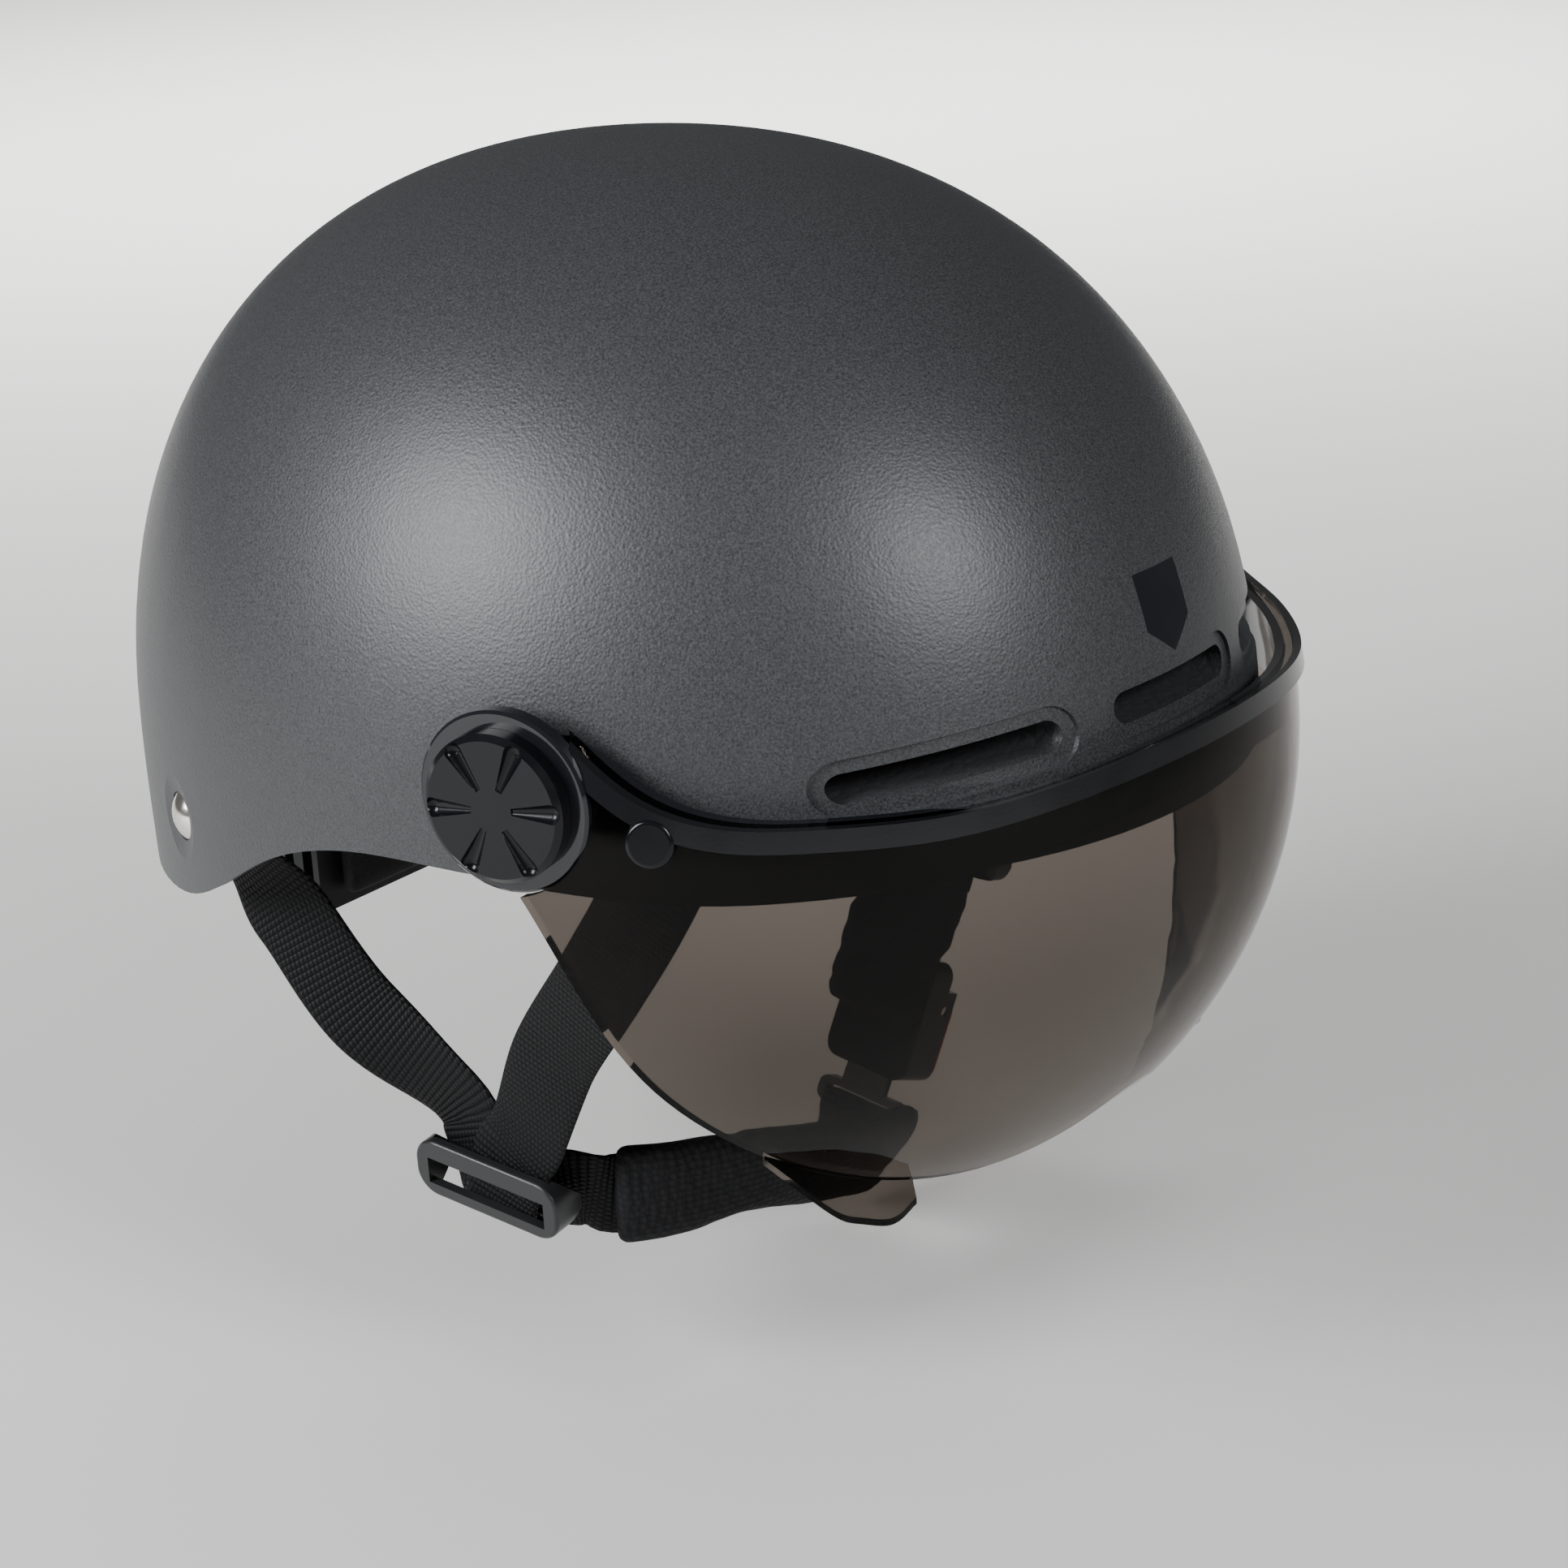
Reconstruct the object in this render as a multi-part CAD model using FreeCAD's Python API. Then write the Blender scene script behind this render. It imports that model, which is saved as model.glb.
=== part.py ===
import FreeCAD, Part
import math
import os

# Cycling helmet with a swinging smoked visor, built as separate pieces.
# Lengths are millimetres. Working frame: Z up, front of the helmet towards -Y,
# wearer's right towards -X, Z = 0 at the widest level of the shell.
# Every piece is moved down at the end so that the origin is the crown of the
# wearer's head, where the head meets the crown pad.

os.makedirs("parts", exist_ok=True)
V = FreeCAD.Vector
UP = V(0, 0, 1)

# ---- driving dimensions -------------------------------------------------
# shell
half_width = 113.0
half_length = 137.3
length_shift = -2.0
crown_height = 133.0
dome_power = 2.24
skirt_depth = 70.0
skirt_power_height = 260.0
shell_wall = 3.0
foam_wall = 25.0
pad_thickness = 6.0
pad_gap = 0.3
# lower edge of the shell, as heights along the side of the helmet
edge_front_z = 6.0
edge_side_z = 6.0
edge_ear_z = -2.5
edge_rear_z = -24.0
edge_nape_z = -31.0
foam_edge_lift = 2.0
# brow vents
vent_height = 6.5
vent_line_z = 31.5
vent_line_radius = 420.0
vent_centre_half = 20.0
vent_side_inner = 33.0
vent_side_outer = 74.0
vent_lip_width = 3.0
vent_lip_depth = 0.9
# plain badge over the middle vent
badge_width = 15.0
badge_height = 17.0
badge_z = 47.0
badge_thickness = 0.5
# visor bubble
lens_side_gap = 6.5
lens_front_gap = 0.2
lens_half_height = 119.0
lens_centre_y = -10.0
lens_centre_z = 4.0
lens_wall = 2.0
frame_wall = 2.0
glue_gap = 0.05
frame_top_z = 22.0
frame_front_rise = 4.0
band_side_z = 6.0
band_front_z = 15.0
rim_height = 4.5
rim_proud = 1.8
lens_low_z = -72.0
lens_nose_z = -58.0
lip_reach = 9.5
lip_inner_x = 50.0
lip_outer_x = 79.0
lip_inner_z = -70.5
lip_outer_z = -57.5
lip_wall = 1.6
# visor pivots and knobs
pivot_y = -51.0
pivot_z = 25.0
arm_tilt = 12.5
arm_radius = 19.0
arm_thickness = 4.0
arm_inset = 5.5
hub_step = 0.9
washer_thickness = 0.6
washer_gap = 0.1
base_radius = 8.0
base_recess_radius = 9.0
spigot_radius = 5.0
spigot_inset = 2.0
running_clearance = 0.05
knob_radius = 15.5
knob_height = 4.4
knob_boss_radius = 7.0
knob_boss_height = 2.2
knob_seat_gap = 0.1
knob_grooves = 6
knob_groove_turn = 26.0
stud_radius = 5.0
stud_height = 2.2
stud_y = -81.0
stud_z = 19.5
knob_rim_gap = 0.4
visor_swing = 50.0
swing_clearance = 0.4
relief_steps = 8
relief_start_x = 60.0
# fasteners
screw_radius = 2.0
screw_head_radius = 4.5
screw_head_height = 2.4
rivet_head_radius = 5.5
rivet_head_height = 2.2
rivet_shank_radius = 2.0
rear_rivet_y = 60.0
rear_rivet_z = -5.0
front_rivet_y = -76.0
front_rivet_z = 13.0
dimple_radius = 10.0
dimple_depth = 1.2
rivet_washer_radius = 6.0
rivet_washer_thickness = 1.2
rivet_hole_gap = 0.05
washer_seat_gap = 0.3
# webbing
web_width = 20.0
web_thickness = 1.8
web_play = 0.6
divider_length = 41.0
divider_width = 14.6
divider_cheek = 3.8
divider_top_bar = 4.7
divider_low_bar = 3.2
divider_bar_depth = 2.3
divider_gap = 4.2
sleeve_width = 27.0
sleeve_thickness = 8.0
pad_flap_width = 31.0
pad_flap_thickness = 6.0
# buckle
buckle_length = 32.0
buckle_width = 26.0
buckle_floor = 2.5
buckle_channel_width = 14.0
buckle_channel_height = 3.0
buckle_wall_top = 8.0
tongue_width = 13.4
tongue_thickness = 2.2
tongue_head_length = 7.0
loop_reach = 10.0
tongue_tooth_pitch = 3.0
tongue_travel = 5.0
lever_width = 21.0
lever_thickness = 3.0
lever_length = 20.0
lever_flange = 1.0
pawl_clearance = 0.15
lever_pin_radius = 1.5
spring_wire = 0.8
# head ring at the nape
dial_y = 100.0
dial_z = -49.0
dial_radius = 15.0
dial_thickness = 9.0
housing_half_width = 31.0
housing_half_height = 13.0
housing_depth = 10.0
housing_wall = 2.0
pinion_teeth = 10
gear_module = 1.0
rack_thickness = 3.0
rack_body = 2.6
band_height = 13.0
band_thickness = 2.0
band_travel = 10.0
gear_backlash = 0.16

# ---- sizes worked out from the ones above -------------------------------
lens_half_width = half_width + lens_side_gap
lens_half_length = half_length + lens_front_gap
arm_inner_x = half_width - arm_inset
hub_plane_x = arm_inner_x + hub_step
spigot_end_x = half_width - spigot_inset
cavity_inset = shell_wall + foam_wall
head_inset = cavity_inset + pad_gap + pad_thickness
head_crown_z = crown_height - head_inset
pinion_pitch_radius = pinion_teeth * gear_module / 2.0
tooth_pitch = math.pi * gear_module
far = 400.0


# ---- helpers --------------------------------------------------------------
def save(name, shape):
    """Move a finished piece into the head-crown frame and write it."""
    placed = shape.copy()
    placed.translate(V(0, 0, -head_crown_z))
    placed.exportStep("parts/" + name + ".step")


def box(x0, x1, y0, y1, z0, z1):
    return Part.makeBox(x1 - x0, y1 - y0, z1 - z0, V(x0, y0, z0))


def mirrored(shape):
    return shape.mirror(V(0, 0, 0), V(1, 0, 0))


def pair(shape):
    """A piece and its mirror image on the other side of the helmet."""
    return Part.makeCompound([shape, mirrored(shape)])


def tidy(shape):
    """The largest solid of a boolean result, without the crumbs cut loose beside it."""
    return max(shape.Solids, key=lambda solid: solid.Volume)


def dome_level(height, inset):
    """Share of the plan size left at a height, for a dome set in by inset."""
    crown = crown_height - inset
    reach = crown if height > 0 else skirt_power_height
    share = min(abs(height) / reach, 1.0)
    return (1.0 - share ** dome_power) ** (1.0 / dome_power)


def dome(inset):
    """Solid dome, set in from the outer skin all round by inset."""
    radius = half_width - inset
    crown = crown_height - inset
    points = []
    for k in range(4, 0, -1):
        z = -skirt_depth * k / 4.0
        points.append(V(radius * dome_level(z, inset), 0, z))
    steps = 16
    for k in range(steps + 1):
        turn = 0.5 * math.pi * k / steps
        x = radius * max(math.cos(turn), 0.0) ** (2.0 / dome_power)
        z = crown * math.sin(turn) ** (2.0 / dome_power)
        points.append(V(x, 0, z))
    points[-1] = V(0, 0, crown)
    curve = Part.BSplineCurve()
    curve.interpolate(Points=points)
    foot = V(0, 0, -skirt_depth)
    wire = Part.Wire([
        curve.toShape(),
        Part.makeLine(points[-1], foot),
        Part.makeLine(foot, points[0]),
    ])
    solid = Part.Face(wire).revolve(V(0, 0, 0), UP, 360)
    stretch = FreeCAD.Matrix()
    stretch.A22 = (half_length - inset) / radius
    stretch.A24 = length_shift
    return solid.transformGeometry(stretch)


def dome_x(y, z, inset=0.0):
    """Half width of the dome at a given y and z."""
    level = dome_level(z, inset)
    share = (y - length_shift) / (half_length - inset)
    return (half_width - inset) * math.sqrt(max(level ** 2 - share ** 2, 0.0))


def dome_normal(y, z):
    """Outward direction of the dome on the wearer's left side."""
    x = dome_x(y, z)
    level_x = x / half_width ** 2
    level_y = (y - length_shift) / half_length ** 2
    rise = max(z, 0.0) / crown_height
    level_z = rise ** (dome_power - 1.0) / crown_height
    normal = V(level_x, level_y, level_z)
    normal.normalize()
    return normal


def side_prism(outline, closed_curves=None):
    """Prism across the whole width, drawn in the side view from (y, z) points."""
    edges = closed_curves
    if edges is None:
        corners = [V(-far, y, z) for y, z in outline]
        corners.append(corners[0])
        edges = [Part.makePolygon(corners)]
    return Part.Face(Part.Wire(edges)).extrude(V(2 * far, 0, 0))


def side_curve(points):
    """Smooth curve through (y, z) points on the left end of a side prism."""
    curve = Part.BSplineCurve()
    curve.interpolate(Points=[V(-far, y, z) for y, z in points])
    return curve


def side_cutter(points, z_limit):
    """Prism between a smooth line of (y, z) points and a level z_limit."""
    curve = side_curve(points)
    first, last = points[0], points[-1]
    corner_a = V(-far, last[0], z_limit)
    corner_b = V(-far, first[0], z_limit)
    edges = [
        curve.toShape(),
        Part.makeLine(V(-far, last[0], last[1]), corner_a),
        Part.makeLine(corner_a, corner_b),
        Part.makeLine(corner_b, V(-far, first[0], first[1])),
    ]
    return side_prism(None, edges)


def edge_line(lift):
    """The lower edge of the helmet in the side view, raised by lift."""
    points = [
        (-200.0, edge_front_z + 1.5),
        (-140.0, edge_front_z + 0.5),
        (-90.0, edge_front_z),
        (-40.0, edge_side_z),
        (-8.0, edge_side_z - 0.3),
        (18.0, edge_ear_z + 0.5),
        (36.0, 0.5 * (edge_ear_z + edge_rear_z) + 1.0),
        (56.0, edge_rear_z + 2.0),
        (78.0, edge_rear_z - 2.5),
        (110.0, edge_nape_z + 1.0),
        (140.0, edge_nape_z),
        (200.0, edge_nape_z),
    ]
    return [(y, z + lift) for y, z in points]


def round_bar(start, end, radius):
    direction = end - start
    return Part.makeCylinder(radius, direction.Length, start, direction)


def frame_at(origin, along, outward):
    """Placement whose X runs along a strap and whose Z points outward."""
    x_axis = V(along)
    x_axis.normalize()
    y_axis = outward.cross(x_axis)
    y_axis.normalize()
    z_axis = x_axis.cross(y_axis)
    matrix = FreeCAD.Matrix(
        x_axis.x, y_axis.x, z_axis.x, origin.x,
        x_axis.y, y_axis.y, z_axis.y, origin.y,
        x_axis.z, y_axis.z, z_axis.z, origin.z,
        0, 0, 0, 1)
    return FreeCAD.Placement(matrix)


def placed(shape, placement):
    moved = shape.copy()
    moved.Placement = placement
    return moved


def ribbon(stations, width, thickness):
    """Flat strap through stations of (centre point, outward direction)."""
    sections = []
    count = len(stations)
    for k, (centre, outward) in enumerate(stations):
        before = stations[max(k - 1, 0)][0]
        after = stations[min(k + 1, count - 1)][0]
        along = after - before
        along.normalize()
        side = along.cross(outward)
        side.normalize()
        out = side.cross(along)
        a = side * (width / 2.0)
        b = out * (thickness / 2.0)
        corners = [centre + a + b, centre - a + b, centre - a - b, centre + a - b]
        corners.append(corners[0])
        sections.append(Part.makePolygon(corners))
    return Part.makeLoft(sections, True, True)


def slot_face(half_span_from, half_span_to, height):
    """Rounded slot following the vent line, drawn in the front view."""
    centre_z = vent_line_z - vent_line_radius
    rin = vent_line_radius - height / 2.0
    rout = vent_line_radius + height / 2.0

    def at(radius, x_mid):
        turn = math.asin(x_mid / vent_line_radius)
        return V(radius * math.sin(turn), 0, centre_z + radius * math.cos(turn))

    x0 = half_span_from + height / 2.0
    x1 = half_span_to - height / 2.0
    xm = (x0 + x1) / 2.0
    end_reach = height / 2.0
    left_cap = at(vent_line_radius, x0)
    right_cap = at(vent_line_radius, x1)
    left_dir = at(vent_line_radius, x0 - end_reach) - left_cap
    right_dir = at(vent_line_radius, x1 + end_reach) - right_cap
    left_dir.normalize()
    right_dir.normalize()
    edges = [
        Part.Arc(at(rin, x0), at(rin, xm), at(rin, x1)).toShape(),
        Part.Arc(at(rin, x1), right_cap + right_dir * end_reach, at(rout, x1)).toShape(),
        Part.Arc(at(rout, x1), at(rout, xm), at(rout, x0)).toShape(),
        Part.Arc(at(rout, x0), left_cap + left_dir * end_reach, at(rin, x0)).toShape(),
    ]
    return Part.Face(Part.Wire(edges))


def slot_tools(grow):
    """Cutters for the three brow vents, grown all round by grow."""
    spans = [
        (-vent_centre_half, vent_centre_half),
        (vent_side_inner, vent_side_outer),
        (-vent_side_outer, -vent_side_inner),
    ]
    tools = []
    for low, high in spans:
        face = slot_face(low - grow, high + grow, vent_height + 2 * grow)
        face.translate(V(0, -far, 0))
        tools.append(face.extrude(V(0, far - 50.0, 0)))
    return tools


# ---- shell, foam and comfort pads ----------------------------------------
skin = dome(0.0)
shell_inside = dome(shell_wall)
cavity = dome(cavity_inset)
below_shell = side_cutter(edge_line(0.0), -far)
below_foam = side_cutter(edge_line(foam_edge_lift), -far)

lip_layer = skin.cut(dome(vent_lip_depth))
outer_shell = skin.cut(shell_inside).cut(below_shell)
foam_liner = shell_inside.cut(cavity).cut(below_foam)
for tool in slot_tools(0.0):
    outer_shell = outer_shell.cut(tool)
    foam_liner = foam_liner.cut(tool)
for tool in slot_tools(vent_lip_width):
    outer_shell = outer_shell.cut(lip_layer.common(tool))

# plain shield-shaped badge, let into the shell
half_badge = badge_width / 2.0
badge_wire = Part.makePolygon([
    V(-half_badge, -far, badge_z + badge_height / 2.0),
    V(half_badge, -far, badge_z + badge_height / 2.0),
    V(half_badge, -far, badge_z - badge_height / 6.0),
    V(0, -far, badge_z - badge_height / 2.0),
    V(-half_badge, -far, badge_z - badge_height / 6.0),
    V(-half_badge, -far, badge_z + badge_height / 2.0),
])
badge_prism = Part.Face(badge_wire).extrude(V(0, far, 0))
front_badge = skin.cut(dome(badge_thickness)).common(badge_prism)
outer_shell = outer_shell.cut(front_badge)

pad_layer = dome(cavity_inset + pad_gap).cut(dome(head_inset))
pad_brow = pad_layer.common(box(-60, 60, -160, -55, edge_front_z + 3.0, edge_front_z + 18.0))
pad_crown = pad_layer.common(Part.makeCylinder(34.0, far, V(0, 0, 40.0)))
pad_side = pad_layer.common(box(0, far, -38.0, 40.0, 22.0, 56.0))
pad_back = pad_layer.common(box(-42.0, 42.0, 50.0, far, 14.0, 46.0))


# ---- strap rivets and the pockets they clamp in ---------------------------
def rivet_axis(y, z):
    """Point on the skin on the left side and the outward direction there."""
    return V(dome_x(y, z), y, z), dome_normal(y, z)


rivets = []
rivet_washers = []
for rivet_y, rivet_z, sunk in [
    (rear_rivet_y, rear_rivet_z, dimple_depth),
    (front_rivet_y, front_rivet_z, 0.0),
]:
    seat, normal = rivet_axis(rivet_y, rivet_z)
    if sunk:
        ball = 0.5 * (dimple_radius ** 2 / sunk + sunk)
        dimple = Part.makeSphere(ball, seat + normal * (ball - sunk))
        outer_shell = outer_shell.cut(dimple).cut(mirrored(dimple))
    seat = seat - normal * sunk
    flat_seat = Part.makeCylinder(rivet_head_radius + 0.1, 5.0, seat, normal)
    outer_shell = outer_shell.cut(flat_seat).cut(mirrored(flat_seat))
    inner_face = seat - normal * (shell_wall - sunk)
    head_ball = 0.5 * (rivet_head_radius ** 2 / rivet_head_height + rivet_head_height)
    head = Part.makeSphere(head_ball, seat - normal * (head_ball - rivet_head_height))
    keep = Part.makeCylinder(rivet_head_radius + 2.0, 10.0, seat, normal)
    head = head.common(keep)
    shank_end = inner_face - normal * (rivet_washer_thickness + 0.6)
    shank = round_bar(seat + normal * 0.5, shank_end, rivet_shank_radius)
    rivets.append(head.fuse(shank).removeSplitter())
    hole = round_bar(seat + normal * 4.0, shank_end, rivet_shank_radius + rivet_hole_gap)
    washer_foot = inner_face - normal * (rivet_washer_thickness + washer_seat_gap)
    washer = Part.makeCylinder(rivet_washer_radius, rivet_washer_thickness, washer_foot, normal)
    washer = washer.cut(hole)
    rivet_washers.append(washer)
    for side in (1.0, -1.0):
        foot = V(side * inner_face.x, inner_face.y, inner_face.z)
        outward = V(side * normal.x, normal.y, normal.z)
        disc = Part.makeCylinder(rivet_washer_radius + washer_seat_gap, 5.0, foot - outward * 5.0, outward)
        outer_shell = outer_shell.cut(disc)
        bore = Part.makeCylinder(rivet_shank_radius + rivet_hole_gap, 12.0, foot - outward * 5.0, outward)
        outer_shell = outer_shell.cut(bore)
    pocket = Part.makeCylinder(
        web_width / 2.0 + 2.0, rivet_washer_thickness + web_thickness + 2.2,
        inner_face - normal * (rivet_washer_thickness + web_thickness + 2.2), normal)
    foam_liner = foam_liner.cut(pocket).cut(mirrored(pocket))
strap_rivets = Part.makeCompound(rivets + [mirrored(r) for r in rivets])
strap_washers = Part.makeCompound(rivet_washers + [mirrored(w) for w in rivet_washers])

# ---- visor pivots on the shell --------------------------------------------
base_face_x = hub_plane_x - washer_gap - washer_thickness
axis_start = V(60.0, pivot_y, pivot_z)
X = V(1, 0, 0)


def along_pivot(radius, x_from, x_to):
    return Part.makeCylinder(radius, x_to - x_from, V(x_from, pivot_y, pivot_z), X)


base = along_pivot(base_radius, 90.0, base_face_x).cut(skin)
base = base.fuse(along_pivot(spigot_radius, 100.0, spigot_end_x).cut(skin))
base = base.cut(along_pivot(screw_radius, 60.0, spigot_end_x - 1.5))
screw_seat_x = dome_x(pivot_y, pivot_z, shell_wall) - 3.0
screw = along_pivot(screw_head_radius, screw_seat_x - screw_head_height, screw_seat_x)
screw = screw.fuse(along_pivot(screw_radius, screw_seat_x - 0.5, spigot_end_x - 1.5))
screw_pocket = along_pivot(screw_head_radius + 1.5, 40.0, screw_seat_x)
insert = along_pivot(screw_head_radius + 3.0, screw_seat_x, 120.0).common(shell_inside)
insert = insert.cut(along_pivot(screw_radius, 60.0, 120.0))
screw_nose = along_pivot(screw_radius, 60.0, 120.0)
washer_ring = along_pivot(base_radius, base_face_x, base_face_x + washer_thickness)
washer_ring = washer_ring.cut(along_pivot(spigot_radius, 60.0, 120.0))
for side_shape in (screw_pocket, mirrored(screw_pocket)):
    foam_liner = foam_liner.cut(side_shape)
for side_shape in (insert, mirrored(insert), screw_nose, mirrored(screw_nose)):
    foam_liner = foam_liner.cut(side_shape)
for side_shape in (screw_nose, mirrored(screw_nose)):
    outer_shell = outer_shell.cut(side_shape)

# ---- visor -----------------------------------------------------------------
def bubble(inset):
    """Solid ellipsoid of the visor skin, set in by inset."""
    ball = Part.makeSphere(1.0)
    stretch = FreeCAD.Matrix()
    stretch.A11 = lens_half_width - inset
    stretch.A22 = lens_half_length - inset
    stretch.A33 = lens_half_height - inset
    stretch.A24 = lens_centre_y
    stretch.A34 = lens_centre_z
    return ball.transformGeometry(stretch)


def bubble_x(y, z, inset=0.0):
    share_y = (y - lens_centre_y) / (lens_half_length - inset)
    share_z = (z - lens_centre_z) / (lens_half_height - inset)
    return (lens_half_width - inset) * math.sqrt(1.0 - share_y ** 2 - share_z ** 2)


def bubble_normal(y, z):
    x = bubble_x(y, z)
    normal = V(
        x / lens_half_width ** 2,
        (y - lens_centre_y) / lens_half_length ** 2,
        (z - lens_centre_z) / lens_half_height ** 2)
    normal.normalize()
    return normal


ring_top = pivot_z + arm_radius
top_line = [
    (pivot_y + 2.0, ring_top - 0.5),
    (pivot_y - 8.0, ring_top - 2.5),
    (pivot_y - 18.0, ring_top - 9.5),
    (pivot_y - 29.0, frame_top_z + 5.0),
    (pivot_y - 42.0, frame_top_z + 0.8),
    (pivot_y - 60.0, frame_top_z),
    (pivot_y - 78.0, frame_top_z + 0.5),
    (lens_centre_y - lens_half_length + 4.0, frame_top_z + frame_front_rise),
    (-200.0, frame_top_z + frame_front_rise + 3.0),
]
rear_line = [
    (pivot_y - 4.0, pivot_z - arm_radius + 1.5),
    (-61.0, -4.0),
    (-67.0, -20.0),
    (-74.0, -38.0),
    (-84.0, -54.0),
    (-96.0, lens_low_z + 5.0),
    (-107.0, lens_low_z),
    (-117.0, lens_low_z + 3.5),
    (-128.0, lens_nose_z),
    (-160.0, lens_nose_z + 18.0),
    (-200.0, lens_nose_z + 26.0),
]
band_line = [
    (pivot_y + 2.0, pivot_z - arm_radius + 2.0),
    (pivot_y - 14.0, band_side_z + 1.2),
    (pivot_y - 34.0, band_side_z),
    (pivot_y - 60.0, band_side_z + 0.8),
    (pivot_y - 80.0, band_side_z + 3.5),
    (lens_centre_y - lens_half_length + 3.0, band_front_z),
    (-200.0, band_front_z + 6.0),
]


def between(upper, lower):
    """Prism across the width between two lines of (y, z) points."""
    top = side_curve(upper)
    low = side_curve(lower)
    edges = [
        top.toShape(),
        Part.makeLine(V(-far, *upper[-1]), V(-far, *lower[-1])),
        low.toShape(),
        Part.makeLine(V(-far, *lower[0]), V(-far, *upper[0])),
    ]
    return side_prism(None, Part.sortEdges(edges)[0])


tilt = math.radians(arm_tilt)
arm_axis = V(math.cos(tilt), -math.sin(tilt), 0)
arm_seat = V(arm_inner_x, pivot_y, pivot_z)


def along_arm(radius, start, length):
    return Part.makeCylinder(radius, length, arm_seat + arm_axis * start, arm_axis)


whole_arm = along_arm(arm_radius, -30.0, 60.0)
lens_skin = bubble(0.0)
lens_back = bubble(lens_wall)
frame_back = bubble(lens_wall + frame_wall)
rear_limit = pivot_y + 1.0
front_only = box(-far, far, -far, rear_limit, -far, far)

visor_lens = lens_skin.cut(lens_back).common(between(top_line, rear_line))
visor_lens = visor_lens.common(front_only)
visor_lens = visor_lens.cut(whole_arm).cut(mirrored(whole_arm))

visor_frame = bubble(lens_wall + glue_gap).cut(frame_back).common(between(top_line, band_line))
visor_frame = visor_frame.common(front_only)

# relief beside the arms, so that the frame clears the shell all the way up
shell_grown = dome(-swing_clearance)
relief_zone = box(relief_start_x, far, pivot_y - arm_radius - 5.0, rear_limit + 1.0, -far, far)
for k in range(relief_steps + 1):
    swept = shell_grown.copy()
    swept.rotate(V(0, pivot_y, pivot_z), X, visor_swing * k / relief_steps)
    swept = swept.common(relief_zone)
    visor_frame = visor_frame.cut(swept).cut(mirrored(swept))
visor_frame = tidy(visor_frame)

recess = along_pivot(base_recess_radius, 60.0, hub_plane_x)
spigot_hole = along_pivot(spigot_radius + running_clearance, 60.0, spigot_end_x + 0.3)
arm = along_arm(arm_radius, 0.0, arm_thickness)
arm = arm.makeChamfer(0.6, [e for e in arm.Edges if e.Closed])
boss = along_arm(knob_boss_radius, arm_thickness - 0.5, knob_boss_height + 0.5)
for flip in (False, True):
    for shape, add in ((arm, True), (boss, True), (recess, False), (spigot_hole, False)):
        piece = mirrored(shape) if flip else shape
        visor_frame = visor_frame.fuse(piece) if add else visor_frame.cut(piece)

knob_room = along_arm(knob_radius + knob_rim_gap, arm_thickness, 30.0)
knob_room = knob_room.cut(along_arm(knob_boss_radius + 0.02, 0.0, 60.0))
visor_frame = visor_frame.cut(knob_room).cut(mirrored(knob_room))

rim_low_line = [(y, z - rim_height) for y, z in top_line]
visor_rim = bubble(-rim_proud).cut(lens_skin).common(between(top_line, rim_low_line))
visor_rim = visor_rim.common(box(-far, far, -far, pivot_y - 10.0, -far, far))
visor_rim = visor_rim.cut(whole_arm).cut(mirrored(whole_arm))

stud_seat = V(bubble_x(stud_y, stud_z), stud_y, stud_z)
stud_axis = bubble_normal(stud_y, stud_z)
stud = Part.makeCylinder(stud_radius, stud_height + 3.0, stud_seat - stud_axis * 3.0, stud_axis)
stud_top = stud_seat + stud_axis * stud_height
stud = stud.makeFillet(1.0, [
    e for e in stud.Edges if e.Closed and (e.CenterOfMass - stud_top).Length < 0.5])
stud = stud.cut(lens_skin)
visor_studs = pair(stud)
visor_rim = visor_rim.cut(stud).cut(mirrored(stud))


# thumb lips: short ledges flaring out from the lower edge of the lens
def lip(side):
    sections = []
    steps = 8
    for k in range(steps + 1):
        share = k / steps
        x = lip_inner_x + (lip_outer_x - lip_inner_x) * share
        swell = min(1.0, 0.45 + 3.0 * share, 2.2 * (1.0 - share))
        z = lip_inner_z + (lip_outer_z - lip_inner_z) * share ** 1.3 + 1.0
        share_x = x / lens_half_width
        share_z = (z - lens_centre_z) / lens_half_height
        y = lens_centre_y - lens_half_length * math.sqrt(1.0 - share_x ** 2 - share_z ** 2)
        root = V(x * side, y, z)
        outward = V(x * side / lens_half_width ** 2, (y - lens_centre_y) / lens_half_length ** 2,
                    (z - lens_centre_z) / lens_half_height ** 2)
        outward.normalize()
        reach = V(outward.x, outward.y, 0)
        reach.normalize()
        reach = (reach * 0.62 + UP * -0.78) * (1.0 + (lip_reach - 1.0) * max(swell, 0.0))
        start = root - outward * (0.7 * lens_wall)
        corners = [
            start + UP * (lip_wall / 2.0),
            root + reach + UP * (lip_wall / 2.0),
            root + reach - UP * (lip_wall / 2.0),
            start - UP * (lip_wall / 2.0),
        ]
        corners.append(corners[0])
        sections.append(Part.makePolygon(corners))
    return Part.makeLoft(sections, True, False)


for side in (-1, 1):
    visor_lens = visor_lens.fuse(lip(side))

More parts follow.
